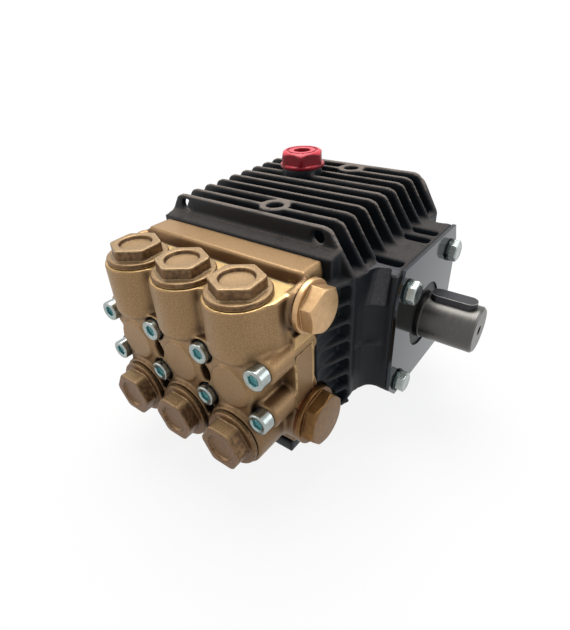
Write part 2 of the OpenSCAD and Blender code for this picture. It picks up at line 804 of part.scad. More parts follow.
module manifold_body() {
    low_top = side_low_z + side_h;
    translate([-core_x, -seat_y + 1, man_low_z])
        cube([2 * core_x, seat_y - face_y - 1, low_top + 12.5 - man_low_z]);
    translate([-cheek_in + cheek_gap, -side_front, man_low_z - 6])
        cube([2 * (cheek_in - cheek_gap), side_front - face_y, low_top + 9 - man_low_z]);
    translate([-man_x, -side_front, side_low_z])
        cube([2 * man_x, side_front - column_end, side_h]);
    both_sides()
        along_x(man_x - 1, man_x + panel_rise)
            polygon([
                [-side_front, panel_z + 1.5], [-side_front + panel_w, panel_z],
                [-side_front + panel_w, panel_z + panel_h], [-side_front, panel_z + panel_h - 4]
            ]);
    translate([-rail_x, -rail_y, neck_top_z - 14])
        cube([2 * rail_x, rail_d, rail_top - neck_top_z + 14]);
    translate([-pitch - turret_r + 2, -turret_y - scallop, turret_low + 3])
        cube([2 * (pitch + turret_r - 2), turret_y + scallop - rail_y + 1, turret_top - turret_low - 3]);
    for (x = [-1, 0, 1]) {
        translate([x * pitch, -turret_y, 0])
            turret();
        rod_y(-suction_face, -face_y, x * pitch, suction_z, 2 * suction_r);
        translate([x * pitch, 0, (bolt_hi + bolt_lo) / 2])
            rotate([90, 0, 0])
                front_disc();
    }
    for (x = [-1.5, -0.5, 0.5, 1.5], z = [bolt_lo, bolt_hi])
        rod_y(-seat_y, -column_end, x * pitch, z, column_d);
    rod_x(-man_x, man_x, -gallery_hi_y, gallery_hi_z, gallery_hi_d);
    rod_x(-man_x, man_x, -gallery_lo_y, suction_z, gallery_lo_d);
}

module cap_seats() {
    for (x = [-1, 0, 1]) {
        translate([x * pitch, -turret_y, turret_top - cap_thread_h - end_gap])
            cylinder(d = cap_thread_d + 2 * seat_gap, h = cap_thread_h + end_gap + 1);
        translate([x * pitch, -turret_y, turret_top])
            cylinder(d = cap_flange_d + 2 * head_room, h = cap_flange_t + cap_hex_h);
        rod_y(-suction_face - 1, -suction_face + cap_thread_h + end_gap, x * pitch, suction_z,
            cap_thread_d + 2 * seat_gap);
        rod_y(-disc_y - 3, -suction_face, x * pitch, suction_z, cap_flange_d + 2 * head_room);
    }
}

// The two galleries, their threads and the machined faces round them
module ports() {
    both_sides() {
        rod_x(man_x - port_hi_h, man_x + 1, -gallery_hi_y, gallery_hi_z, port_hi_d);
        rod_x(man_x - port_lo_h, man_x + 1, -gallery_lo_y, suction_z, port_lo_d);
        rod_x(man_x, man_x + 3, -gallery_hi_y, gallery_hi_z, flange_d(plug_hi_af) + 2 * head_room);
        rod_x(man_x, man_x + 3, -gallery_lo_y, suction_z, flange_d(plug_lo_af) + 2 * head_room);
    }
}

module manifold() {
    color([0.72, 0.58, 0.38])
    difference() {
        manifold_body();
        cap_seats();
        ports();
        for (side = [-0.5, 0.5])
            translate([side * pitch, 0, window_z])
                window_shape();
        translate([-core_x - 1, -rail_y - groove_w, turret_top - groove_h])
            cube([2 * core_x + 2, groove_w, groove_h + 1]);
        for (x = [-1.5, -0.5, 0.5, 1.5], z = [bolt_lo, bolt_hi])
            union() {
                rod_y(-suction_face - 3, -face_y + 1, x * pitch, z, screw_hole_d);
                rod_y(-turret_y - turret_r - 1, -seat_y, x * pitch, z, socket_d + 2 * head_room);
            }
    }
}

// A valve cap that stands on Z = 0 with its thread below
module valve_cap(hex_height) {
    cylinder(d = cap_flange_d, h = cap_flange_t);
    translate([0, 0, cap_flange_t])
        hex_head(cap_af, hex_height, 2 * head_chamfer);
    translate([0, 0, -cap_thread_h])
        cylinder(d = cap_thread_d, h = cap_thread_h);
}
module discharge_cap(k) {
    color([0.72, 0.58, 0.38])
    translate([k * pitch, -turret_y, turret_top])
        rotate([0, 0, cap_turn])
            difference() {
                valve_cap(cap_hex_h);
                translate([0, 0, cap_flange_t + cap_hex_h - cap_recess_h])
                    cylinder(d = cap_recess_d, h = cap_recess_h + 1);
            }
}
module suction_cap(k) {
    color([0.72, 0.58, 0.38])
    translate([k * pitch, -suction_face, suction_z])
        rotate([90, 0, 0])
            rotate([0, 0, suction_turn])
                difference() {
                    valve_cap(suction_hex_h);
                    translate([0, 0, cap_flange_t + suction_hex_h - cap_ring_h])
                        difference() {
                            cylinder(d = cap_recess_d, h = cap_ring_h + 1);
                            translate([0, 0, -1])
                                cylinder(d = cap_recess_d - 2 * cap_ring_w, h = cap_ring_h + 3);
                        }
                }
}

// Screws 1 to 4 are the upper row and 5 to 8 the lower row, each from left to right
module manifold_screw(k) {
    x = (k % 4 - 1.5) * pitch;
    z = k < 4 ? bolt_hi : bolt_lo;
    translate([x, -seat_y, z])
        rotate([90, 0, 0])
            socket_screw(seat_y - face_y + man_thread_h - end_gap);
}

module side_plug(y, z, af, port_d, port_h) {
    color([0.75, 0.62, 0.42])
    translate([man_x + washer_t, y, z])
        rotate([0, 90, 0]) {
            cylinder(d = flange_d(af), h = plug_flange_t);
            translate([0, 0, plug_flange_t])
                hex_head(af, plug_hex_h, 2 * head_chamfer);
            translate([0, 0, -port_h + end_gap])
                cylinder(d = port_d - 2 * seat_gap, h = port_h - end_gap);
        }
}
module side_washer(y, z, af, port_d) {
    color([0.7, 0.4, 0.25])
    difference() {
        rod_x(man_x, man_x + washer_t, y, z, hex_d(af));
        rod_x(man_x - 1, man_x + washer_t + 1, y, z, port_d);
    }
}
module discharge_plug() side_plug(-gallery_hi_y, gallery_hi_z, plug_hi_af, port_hi_d, port_hi_h);
module discharge_washer() side_washer(-gallery_hi_y, gallery_hi_z, plug_hi_af, port_hi_d);
module suction_plug() side_plug(-gallery_lo_y, suction_z, plug_lo_af, port_lo_d, port_lo_h);
module suction_washer() side_washer(-gallery_lo_y, suction_z, plug_lo_af, port_lo_d);

module oil_filler_cap() {
    color([0.75, 0.1, 0.18])
    translate([oil_x, oil_y, cap_top_z])
    difference() {
        union() {
            cylinder(d = oil_cap_d, h = oil_flange_t);
            translate([0, 0, oil_flange_t])
                hex_head(oil_af, oil_hex_h, 3 * head_chamfer);
            translate([0, 0, -oil_thread_h])
                cylinder(d = oil_d, h = oil_thread_h);
        }
        translate([0, 0, oil_flange_t + oil_hex_h - oil_recess_h])
            cylinder(d = oil_recess_d, h = oil_recess_h + 1);
    }
}

crankcase();
rear_cover();
rear_cover_screws();
bearing_cover_right();
bearing_cover_left();
gasket_right();
gasket_left();
oil_seal();
crankshaft();
shaft_key();
manifold();
discharge_cap(-1);  // discharge_cap_1
discharge_cap(0);  // discharge_cap_2
discharge_cap(1);  // discharge_cap_3
suction_cap(-1);  // suction_cap_1
suction_cap(0);  // suction_cap_2
suction_cap(1);  // suction_cap_3
manifold_screw(0);  // manifold_screw_1
manifold_screw(1);  // manifold_screw_2
manifold_screw(2);  // manifold_screw_3
manifold_screw(3);  // manifold_screw_4
manifold_screw(4);  // manifold_screw_5
manifold_screw(5);  // manifold_screw_6
manifold_screw(6);  // manifold_screw_7
manifold_screw(7);  // manifold_screw_8
cover_screw(1, 0);  // cover_screw_right_1
cover_screw(1, 1);  // cover_screw_right_2
cover_screw(1, 2);  // cover_screw_right_3
cover_screw(1, 3);  // cover_screw_right_4
cover_screw(-1, 0);  // cover_screw_left_1
cover_screw(-1, 1);  // cover_screw_left_2
cover_screw(-1, 2);  // cover_screw_left_3
cover_screw(-1, 3);  // cover_screw_left_4
discharge_plug();
discharge_washer();
suction_plug();
suction_washer();
oil_filler_cap();
oil_level_glass();
oil_drain_plug();
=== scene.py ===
# %% [markdown]
# # A plunger pump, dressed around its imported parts
#
# The pump's solid parts come from the frame: they are finished in shape and place. This script gives
# them the skin of a casting, the gloss of turned and plated metal, and the edges that a caster, a
# turner and a spanner leave behind. The order is: frame, camera, studio, finishes, dressed pieces.

# %% Load the frame
import json
import math
import bmesh
import bpy
import numpy as np
from mathutils import Matrix, Vector


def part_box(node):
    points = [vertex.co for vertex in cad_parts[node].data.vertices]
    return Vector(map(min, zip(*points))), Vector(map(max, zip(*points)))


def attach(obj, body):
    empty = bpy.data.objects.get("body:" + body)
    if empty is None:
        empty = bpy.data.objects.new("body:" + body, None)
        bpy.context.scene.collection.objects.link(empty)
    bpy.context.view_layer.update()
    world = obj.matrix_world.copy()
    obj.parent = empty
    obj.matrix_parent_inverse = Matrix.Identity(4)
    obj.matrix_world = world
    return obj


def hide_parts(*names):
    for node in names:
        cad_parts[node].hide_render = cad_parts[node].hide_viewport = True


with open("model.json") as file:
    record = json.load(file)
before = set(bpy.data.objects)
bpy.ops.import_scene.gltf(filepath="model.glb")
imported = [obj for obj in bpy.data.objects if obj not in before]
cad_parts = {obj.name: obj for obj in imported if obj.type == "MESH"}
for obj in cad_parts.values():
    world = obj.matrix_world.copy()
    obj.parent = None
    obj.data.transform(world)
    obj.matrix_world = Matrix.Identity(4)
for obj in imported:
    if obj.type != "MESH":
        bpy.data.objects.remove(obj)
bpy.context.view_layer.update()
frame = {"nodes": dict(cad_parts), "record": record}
nodes = frame["nodes"]
scene = bpy.context.scene
mm = 0.001


def new_object(name, data):
    item = bpy.data.objects.new(name, data)
    scene.collection.objects.link(item)
    return item


print("parts in the frame:", len(nodes))

# %% [markdown]
# ## Camera
# The picture was taken from the front right and from above, quite close, so lines that run away from
# the camera draw together. The camera is kept as four facts that can be checked one by one: where it
# stands, its compass angle, how far it looks down, and its small roll. A look-at constraint would be
# shorter, but it has no roll and hides the angles.

# %% Camera
CAMERA_PLACE = (141.5 * mm, -203.3 * mm, 192.9 * mm)
LOOK_ROUND = 38.27
LOOK_DOWN = 32.96
ROLL = -2.8
FOCAL_PX = 456.0
PICTURE_H_PX = 630


def camera_turn():
    """The camera's rotation, built from its compass angle, its tilt and its roll."""
    a, e, r = (math.radians(v) for v in (LOOK_ROUND, LOOK_DOWN, ROLL))
    ahead = Vector((-math.sin(a) * math.cos(e), math.cos(a) * math.cos(e), -math.sin(e)))
    right = ahead.cross(Vector((0, 0, 1))).normalized()
    up = right.cross(ahead)
    side = right * math.cos(r) + up * math.sin(r)
    top = up * math.cos(r) - right * math.sin(r)
    return Matrix((side, top, -ahead)).transposed()


camera_data = bpy.data.cameras.new("camera")
camera_data.sensor_fit = "VERTICAL"
camera_data.sensor_height = 36
camera_data.lens = FOCAL_PX / PICTURE_H_PX * camera_data.sensor_height
camera_data.clip_start = 0.005
camera = new_object("camera", camera_data)
camera.matrix_world = Matrix.Translation(CAMERA_PLACE) @ camera_turn().to_4x4()
scene.camera = camera
print("lens in mm:", round(camera_data.lens, 2))

# %% [markdown]
# ## Shader graphs in a few words
# Every finish here is a graph of shader nodes. Writing each node and each link out takes three lines a
# node, so small helpers add a node, set its values by their names and link it in one line. They return
# output sockets, and the graph then reads like a formula.

# %% Shader helpers
def fresh_graph(owner):
    owner.use_nodes = True
    owner.node_tree.nodes.clear()
    return owner.node_tree


def put(graph, kind, inputs=None, **settings):
    """Adds a node. Settings are its own properties, inputs its sockets by name or number."""
    node = graph.nodes.new("ShaderNode" + kind)
    for name, value in settings.items():
        setattr(node, name, value)
    for name, value in (inputs or {}).items():
        if isinstance(value, bpy.types.NodeSocket):
            graph.links.new(value, node.inputs[name])
        else:
            node.inputs[name].default_value = value
    return node


def calc(graph, operation, a, b=0.0):
    return put(graph, "Math", {0: a, 1: b}, operation=operation, use_clamp=operation == "ADD").outputs[0]


def fade(graph, value, low, high):
    """0 below low, 1 above high and a soft step between."""
    ends = {"Value": value, "From Min": low, "From Max": high}
    return put(graph, "MapRange", ends, interpolation_type="SMOOTHSTEP").outputs[0]


def past(graph, value, start, width):
    """0 up to start and 1 from start + width on, both in mm."""
    return fade(graph, value, start * mm, (start + width) * mm)


def mix_colour(graph, share, a, b):
    return put(graph, "Mix", {0: share, 6: a, 7: b}, data_type="RGBA").outputs[2]


def noise(graph, place, size_mm, detail=3.0):
    inputs = {"Vector": place, "Scale": 1 / (size_mm * mm), "Detail": detail}
    return put(graph, "TexNoise", inputs).outputs["Fac"]


def rgb(r, g, b):
    """A colour as it looks on a screen, 0 to 255, turned into the linear numbers that shaders take."""
    return tuple(((c / 255 + 0.055) / 1.055) ** 2.4 for c in (r, g, b)) + (1,)


print("black paint in linear numbers:", [round(c, 4) for c in rgb(30, 30, 33)[:3]])

# %% [markdown]
# ## Studio
# The background is plain white, and the pump's metals should show that white too. So the world is
# white for rays from the camera and from mirrors, and a soft blue-grey for all other light: a white
# dome at full strength would flatten the castings. A large lamp above and behind lights the tops,
# and two weak ones open the shaded sides. The floor catches a weak shadow near the pump and glows
# white further out, where it has to run into the background without a line.

# %% World and floor
scene.view_settings.view_transform = "Standard"
world = bpy.data.worlds.new("studio")
scene.world = world
graph = fresh_graph(world)
rays = put(graph, "LightPath").outputs
seen = calc(graph, "MAXIMUM", rays["Is Camera Ray"], rays["Is Glossy Ray"])
seen = calc(graph, "MAXIMUM", seen, rays["Is Transmission Ray"])
soft = put(graph, "Background", {"Color": (0.88, 0.93, 1.0, 1), "Strength": 0.26}).outputs[0]
white = put(graph, "Background", {"Color": (1, 1, 1, 1), "Strength": 1.0}).outputs[0]
dome = put(graph, "MixShader", {0: seen, 1: soft, 2: white}).outputs[0]
put(graph, "OutputWorld", {"Surface": dome})

FLOOR_HALF = 3.0
SHADOW_SHARE = 0.13
# The shadow fades out between these distances from the pump's middle, in metres
SHADOW_FROM, SHADOW_TO = 0.15, 0.45
floor_mesh = bpy.data.meshes.new("floor")
corners = [(-FLOOR_HALF, -FLOOR_HALF, 0), (FLOOR_HALF, -FLOOR_HALF, 0),
           (FLOOR_HALF, FLOOR_HALF, 0), (-FLOOR_HALF, FLOOR_HALF, 0)]
floor_mesh.from_pydata(corners, [], [(0, 1, 2, 3)])
floor = new_object("floor", floor_mesh)
floor_finish = bpy.data.materials.new("floor")
floor_mesh.materials.append(floor_finish)
graph = fresh_graph(floor_finish)
place = put(graph, "TexCoord").outputs["Object"]
away = put(graph, "VectorMath", {0: place}, operation="LENGTH").outputs["Value"]
glow_share = calc(graph, "MAXIMUM", 1 - SHADOW_SHARE, fade(graph, away, SHADOW_FROM, SHADOW_TO))
rays = put(graph, "LightPath").outputs
seen = calc(graph, "MAXIMUM", rays["Is Camera Ray"], rays["Is Glossy Ray"])
paper = put(graph, "BsdfDiffuse", {"Color": (0.85, 0.85, 0.85, 1)}).outputs[0]
glow = put(graph, "Emission", {"Color": (1, 1, 1, 1), "Strength": 1.0}).outputs[0]
sheet_mix = put(graph, "MixShader", {0: calc(graph, "MULTIPLY", seen, glow_share), 1: paper, 2: glow})
put(graph, "OutputMaterial", {"Surface": sheet_mix.outputs[0]})


# %% Lamps
LIT_POINT = Vector((0, -0.02, 0.06))


def soft_lamp(name, place, size, watts, colour):
    data = bpy.data.lights.new(name, "AREA")
    data.size = size
    data.energy = watts
    data.color = colour
    lamp = new_object(name, data)
    lamp.location = place
    lamp.rotation_euler = (LIT_POINT - Vector(place)).to_track_quat("-Z", "Y").to_euler()


soft_lamp("ceiling", (-0.15, 0.15, 0.8), 0.6, 8.5, (1.0, 0.99, 0.97))
soft_lamp("window", (0.75, 0.35, 0.4), 0.5, 1.8, (0.93, 0.97, 1.0))
soft_lamp("front wall", (-0.6, -0.7, 0.3), 0.5, 1.6, (1.0, 0.96, 0.9))

# %% [markdown]
# ## Finishes
# A metal part is rarely one even tone. Each finish here starts from one colour and adds what its own
# making leaves: the sand grain of a casting, the fine rings of turning, paint rubbed thin on a rim.
# Several also add painted light and shade: darker hollows, lighter tops and bright edges.
# The patterns read Object coordinates, so they stay on the part when it turns, and a Bevel node
# rounds the light on sharp edges without a single extra face.

# %% A common ground for all finishes
EDGE_MM, GRAIN_HEIGHT_MM = 0.25, 0.12


def finish(name, colour, metallic, roughness, **extra):
    """A finish from one colour. extra can hold paint(graph, place, shader), which returns a pattern
    of colour if it has one, values for sockets, the edges' radius, and the grain's strength and size."""
    material = bpy.data.materials.new(name)
    graph = fresh_graph(material)
    place = put(graph, "TexCoord").outputs["Object"]
    shader = put(graph, "BsdfPrincipled", {"Base Color": colour, "Metallic": metallic,
                                           "Roughness": roughness})
    for socket, value in extra.get("sockets", {}).items():
        shader.inputs[socket].default_value = value
    tone = extra["paint"](graph, place, shader) if "paint" in extra else None
    if tone:
        graph.links.new(tone, shader.inputs["Base Color"])
    edge = put(graph, "Bevel", {"Radius": extra.get("edge_mm", EDGE_MM) * mm}, samples=6).outputs[0]
    if extra.get("grain"):
        bump = {"Height": noise(graph, place, extra["grain_mm"]), "Normal": edge,
                "Strength": extra["grain"], "Distance": GRAIN_HEIGHT_MM * mm}
        edge = put(graph, "Bump", bump).outputs[0]
    graph.links.new(edge, shader.inputs["Normal"])
    put(graph, "OutputMaterial", {"Surface": shader.outputs[0]})
    return material


def roughen(graph, shader, share, low, high):
    """Links a roughness that goes from low to high with share."""
    rough = put(graph, "MapRange", {"Value": share, "To Min": low, "To Max": high}).outputs[0]
    graph.links.new(rough, shader.inputs["Roughness"])


def crevice(graph, distance_mm):
    """1 in the open, towards 0 where surfaces close in on each other."""
    return put(graph, "AmbientOcclusion", {"Distance": distance_mm * mm}, samples=8).outputs["AO"]


def axes(graph, vector):
    """The X, Y and Z of a place or of a direction."""
    return put(graph, "SeparateXYZ", {0: vector}).outputs


def facing(graph):
    """The way that the surface looks, along the part's own axes."""
    return axes(graph, put(graph, "TexCoord").outputs["Normal"])


def times(graph, *values):
    product = values[0]
    for value in values[1:]:
        product = calc(graph, "MULTIPLY", product, value)
    return product


def near(graph, value, target, slack):
    """1 where a value is within slack of its target, in mm, and 0 away from it."""
    off = calc(graph, "ABSOLUTE", calc(graph, "SUBTRACT", value, target * mm))
    return calc(graph, "SUBTRACT", 1.0, past(graph, off, slack, 0.6 * slack))


def wear_and_highlight_edge(graph, size_mm, low, high):
    """1 on an edge that stands out, for rubbed wear and a painted highlight: there the rounded normal turns
    away from the true one.
    """
    rounded = put(graph, "Bevel", {"Radius": size_mm * mm}, samples=8).outputs[0]
    true = put(graph, "NewGeometry").outputs["Normal"]
    same = put(graph, "VectorMath", {0: rounded, 1: true}, operation="DOT_PRODUCT").outputs["Value"]
    turned = fade(graph, calc(graph, "SUBTRACT", 1.0, same), low, high)
    return times(graph, turned, fade(graph, crevice(graph, 1.5), 0.5, 0.75))


# %% [markdown]
# ### Black casting
# The crankcase is sprayed black over raw aluminium. The fins' faces keep their paint, but their rims,
# the lip and the pads have a rough, dusty grey-brown skin. The mask that tells the two apart is worked
# out from the place and the facing of the surface: what lies flat or slopes gently, and is high
# enough, is a rim. Painting the mask by hand would have to be done again after each change of shape.
# One corner of the lip is rubbed down to the metal, and the shoulders beside the shaft are dusty too.

# %% Crankcase finish
WORN_CORNER = (52.5 * mm, -51.0 * mm, 115.5 * mm)
# Rims lie above RIM_Z, or in front of the front wall and above LEDGE_Z. Above THIN_Z the paint is thin.
RIM_Z, FRONT_WALL, LEDGE_Z, THIN_Z = 97.2, 51.0, 12.0, 108.5
SHOULDER_OUT, SHOULDER_AHEAD, SHOULDER_Z = 59.6, 29.5, 80.0


def paint_case(graph, place, shader):
    x, y, z = axes(graph, place)
    out, ahead = calc(graph, "ABSOLUTE", x), calc(graph, "MULTIPLY", y, -1.0)
    up = facing(graph)["Z"]
    speckle = noise(graph, place, 0.6, 4.0)
    clouds = noise(graph, place, 9.0)
    lying = fade(graph, up, 0.3, 0.62)
    rim = times(graph, lying, past(graph, z, RIM_Z, 0.7))
    ledge = times(graph, lying, past(graph, ahead, FRONT_WALL, 1), past(graph, z, LEDGE_Z, 2), 0.5)
    rim = calc(graph, "MAXIMUM", rim, ledge)
    fin_top = past(graph, z, THIN_Z, 2.5)
    broad_tone = mix_colour(graph, speckle, rgb(10, 10, 11), rgb(82, 78, 76))
    thin_tone = mix_colour(graph, speckle, rgb(70, 63, 59), rgb(140, 130, 122))
    face_tone = mix_colour(graph, clouds, rgb(16, 19, 23), rgb(27, 29, 33))
    patchy = fade(graph, calc(graph, "ADD", clouds, times(graph, speckle, 0.5)), 0.35, 0.75)
    worn = calc(graph, "MAXIMUM", times(graph, rim, patchy), times(graph, rim, 0.6))
    tone = mix_colour(graph, worn, face_tone, mix_colour(graph, fin_top, broad_tone, thin_tone))
    # Painted light: in deep crevices the colour is lifted towards a light blue-grey, a painted fill where
    # shade falls.
    painted_fill_share = fade(graph, crevice(graph, 9), 0.15, 0.9)
    tone = mix_colour(graph, painted_fill_share, rgb(40, 46, 52), tone)
    shoulder = times(graph, fade(graph, up, 0.1, 0.22), past(graph, z, SHOULDER_Z, 1.5),
                     past(graph, out, SHOULDER_OUT, 0.8), past(graph, ahead, SHOULDER_AHEAD, 1))
    dust = mix_colour(graph, speckle, rgb(18, 19, 22), rgb(104, 103, 106))
    tone = mix_colour(graph, shoulder, tone, dust)
    off = put(graph, "VectorMath", {0: place, 1: WORN_CORNER}, operation="DISTANCE").outputs["Value"]
    close = calc(graph, "SUBTRACT", 1.0, past(graph, off, 2, 4))
    tone = mix_colour(graph, times(graph, close, fade(graph, speckle, 0.45, 0.6)), tone, rgb(150, 146, 142))
    roughen(graph, shader, rim, 0.42, 0.8)
    return tone


case_black = finish("case_black", rgb(30, 30, 33), 0.0, 0.5, paint=paint_case, grain=0.7, grain_mm=0.5,
                    sockets={"Specular IOR Level": 0.2})


# %% [markdown]
# ### Cast brass
# Sand-cast brass is matt and warm, with painted shade in its hollows and towards its bottom, and
# bright where a cutter has passed: on the turret tops, the deck behind them and the port faces. Its
# shader is six parts metal and four parts dull skin, because an oxidised casting is both. Edges that
# stand out are rubbed bright in patches, partly as a painted highlight, and two dark lines of painted
# shade and a bright line of painted highlight follow the trough.

# %% Brass finishes
# Faces of the manifold that its paint and its casting share, in mm
TURRET_TOP, PORT_FACE = 103.0, 51.5
RAIL_FRONT, TROUGH_FRONT, TROUGH_FLOOR, TROUGH_HALF = -71.5, -75.2, 101.3, 46.4


def paint_brass(graph, place, shader):
    x, y, z = axes(graph, place)
    look = facing(graph)
    turret_top = times(graph, near(graph, z, TURRET_TOP, 0.2), fade(graph, look["Z"], 0.8, 0.95))
    sideways = fade(graph, calc(graph, "ABSOLUTE", look["X"]), 0.85, 0.97)
    port = times(graph, near(graph, calc(graph, "ABSOLUTE", x), PORT_FACE, 0.15), sideways)
    machined = calc(graph, "MAXIMUM", turret_top, times(graph, port, 0.5))
    grain = fade(graph, noise(graph, place, 0.42, 4.0), 0.3, 0.7)
    clouds = noise(graph, place, 14.0)
    skin_tone = mix_colour(graph, grain, rgb(132, 101, 66), rgb(171, 138, 95))
    skin_tone = mix_colour(graph, times(graph, clouds, 0.55), skin_tone, rgb(132, 106, 76))
    # Painted shade: the skin darkens towards the bottom of the manifold.
    painted_low_shade = calc(graph, "SUBTRACT", 1.0, past(graph, z, 40, 32))
    skin_tone = mix_colour(graph, times(graph, painted_low_shade, 0.55), skin_tone, rgb(100, 74, 48))
    # Painted shade: the skin darkens to deep brown in hollows and inner corners.
    hollow = fade(graph, crevice(graph, 7), 0.3, 0.95)
    skin_tone = mix_colour(graph, hollow, rgb(44, 27, 15), skin_tone)
    tone = mix_colour(graph, machined, skin_tone, rgb(226, 188, 126))
    # Edges are rubbed bright in patches, partly as a painted highlight.
    edge = wear_and_highlight_edge(graph, 1.2, 0.01, 0.08)
    patchy = fade(graph, noise(graph, place, 3.0, 3.0), 0.35, 0.6)
    tone = mix_colour(graph, times(graph, edge, patchy, 0.75), tone, rgb(226, 194, 140))
    # Painted shade: a dark band on the rail's front wall, above the trough.
    rail_wall_shade = times(graph, near(graph, y, RAIL_FRONT, 0.9), near(graph, z, TURRET_TOP + 0.7, 2.0))
    tone = mix_colour(graph, times(graph, rail_wall_shade, 0.7), tone, rgb(78, 50, 26))
    # Painted shade: a dark line along the foot of the trough's front wall.
    foot = times(graph, near(graph, y, TROUGH_FRONT + 0.7, 0.35), near(graph, z, TROUGH_FLOOR + 0.4, 0.9))
    tone = mix_colour(graph, times(graph, foot, 0.7), tone, rgb(70, 40, 16))
    # Painted highlight: a bright line along the trough's front edge.
    trough_edge_highlight = times(graph, near(graph, y, TROUGH_FRONT - 0.35, 0.35), near(graph, z, TURRET_TOP, 0.45))
    tone = mix_colour(graph, trough_edge_highlight, tone, rgb(255, 236, 178))
    roughen(graph, shader, machined, 0.42, 0.26)
    return tone


def paint_cap(graph, place, shader):
    """The caps' flanks are blotched by hands and spanners, and their rims are rubbed bright, partly as a
    painted highlight. Painted light makes the tops lighter than the flanks, and painted shade darkens the
    front faces and the hollows.
    """
    look = facing(graph)
    grain = fade(graph, noise(graph, place, 0.42, 4.0), 0.3, 0.7)
    blotch = fade(graph, noise(graph, place, 1.7, 5.0), 0.3, 0.75)
    # Painted light: the tops get a lighter copy of the tone than the blotched flanks.
    top = mix_colour(graph, grain, rgb(124, 98, 66), rgb(164, 136, 98))
    flank = mix_colour(graph, blotch, rgb(80, 57, 36), rgb(128, 98, 65))
    # Painted shade: faces that look forward get a darker copy of the tone.
    shaded_front_tone = mix_colour(graph, grain, rgb(86, 57, 30), rgb(128, 93, 56))
    tone = mix_colour(graph, fade(graph, look["Z"], 0.6, 0.9), flank, top)
    ahead = fade(graph, calc(graph, "MULTIPLY", look["Y"], -1.0), 0.8, 0.96)
    tone = mix_colour(graph, ahead, tone, shaded_front_tone)
    # Painted shade: the tone darkens to deep brown in hollows.
    tone = mix_colour(graph, fade(graph, crevice(graph, 3.5), 0.3, 0.9), rgb(48, 30, 16), tone)
    # Rims are rubbed bright in patches, partly as a painted highlight.
    patchy = fade(graph, noise(graph, place, 2.2, 3.0), 0.38, 0.6)
    share = calc(graph, "ADD", times(graph, patchy, 0.5), 0.5)
    edge = times(graph, wear_and_highlight_edge(graph, 1.1, 0.01, 0.07), share)
    return mix_colour(graph, edge, tone, rgb(250, 224, 174))


brass_cast = finish("brass_cast", rgb(180, 145, 100), 0.6, 0.45, paint=paint_brass, grain=0.6,
                    grain_mm=0.32, edge_mm=0.4)
brass_cap = finish("brass_cap", rgb(180, 145, 100), 0.6, 0.42, paint=paint_cap, grain=0.7,
                   grain_mm=0.35, edge_mm=0.5)


def paint_plug(graph, place, shader):
    """The upper plug is bright, and the lower one stands in the shade and is brown."""
    streaks = noise(graph, place, 2.5, 4.0)
    upper = past(graph, axes(graph, place)["Z"], 60, 10)
    bright = mix_colour(graph, streaks, rgb(178, 140, 98), rgb(222, 184, 136))
    dull = mix_colour(graph, streaks, rgb(84, 56, 26), rgb(140, 103, 58))
    tone = mix_colour(graph, upper, dull, bright)
    # Painted shade: the tone darkens to deep brown in hollows.
    return mix_colour(graph, fade(graph, crevice(graph, 4), 0.2, 0.9), rgb(60, 36, 20), tone)


brass_plug = finish("brass_plug", rgb(200, 150, 100), 0.75, 0.36, paint=paint_plug, grain=0.25,
                    grain_mm=0.5, edge_mm=0.4)
copper = finish("copper", rgb(128, 74, 46), 0.8, 0.45, grain=0.2, grain_mm=0.6)


# %% [markdown]
# ### Steel, zinc, rubber and plastic
# The shaft is turned: its finest detail is rings round its axis, so its noise is squeezed along that
# axis. The screws are zinc-plated and a little green-grey. Each of their points carries a number,
# deep, that tells the paint where it is: 1 in a socket, which stays blue-green, and 2 on a washer,
# which is dark. The bearing plates are dark and glossy and mirror the floor.

# %% Steel finishes
# The shaft is painted darker up to here, next to the seal, and lighter beyond it, in mm
SHAFT_DARK_TO = 76.4


def paint_shaft(graph, place, shader):
    squeeze = put(graph, "Mapping", {"Vector": place, "Scale": (9, 0.3, 0.3)}).outputs[0]
    rings = noise(graph, squeeze, 1.6, 5.0)
    tone = mix_colour(graph, rings, rgb(66, 65, 63), rgb(104, 102, 99))
    beyond_dark_band = past(graph, axes(graph, place)["X"], SHAFT_DARK_TO, 0.3)
    tone = mix_colour(graph, beyond_dark_band, rgb(56, 55, 54), tone)
    roughen(graph, shader, rings, 0.26, 0.42)
    return tone


def paint_key(graph, place, shader):
    """Dark, with its edges rubbed bright by the coupling and given a painted highlight."""
    edge = wear_and_highlight_edge(graph, 0.5, 0.01, 0.06)
    return mix_colour(graph, times(graph, edge, 0.8), rgb(66, 66, 69), rgb(178, 176, 172))


def paint_screw(graph, place, shader):
    deep = put(graph, "Attribute", attribute_name="deep").outputs["Fac"]
    film = noise(graph, place, 2.0)
    tone = mix_colour(graph, film, rgb(134, 143, 140), rgb(178, 184, 181))
    tone = mix_colour(graph, deep, tone, rgb(130, 174, 176))
    return mix_colour(graph, fade(graph, deep, 1.2, 1.8), tone, rgb(62, 70, 70))


def paint_plate(graph, place, shader):
    """Smears of oil change how sharply the plate mirrors."""
    roughen(graph, shader, noise(graph, place, 22.0), 0.06, 0.14)


def paint_plastic(graph, place, shader):
    clouds = noise(graph, place, 5.0)
    # Painted light: the top gets a lighter copy of the red than the sides.
    shaded_side_tone = mix_colour(graph, clouds, rgb(128, 14, 28), rgb(158, 22, 38))
    lit_top_tone = mix_colour(graph, clouds, rgb(200, 46, 62), rgb(226, 68, 84))
    tone = mix_colour(graph, fade(graph, facing(graph)["Z"], 0.6, 0.95), shaded_side_tone, lit_top_tone)
    # Painted shade: the red darkens in the recesses.
    return mix_colour(graph, fade(graph, crevice(graph, 4), 0.2, 0.9), rgb(70, 8, 16), tone)


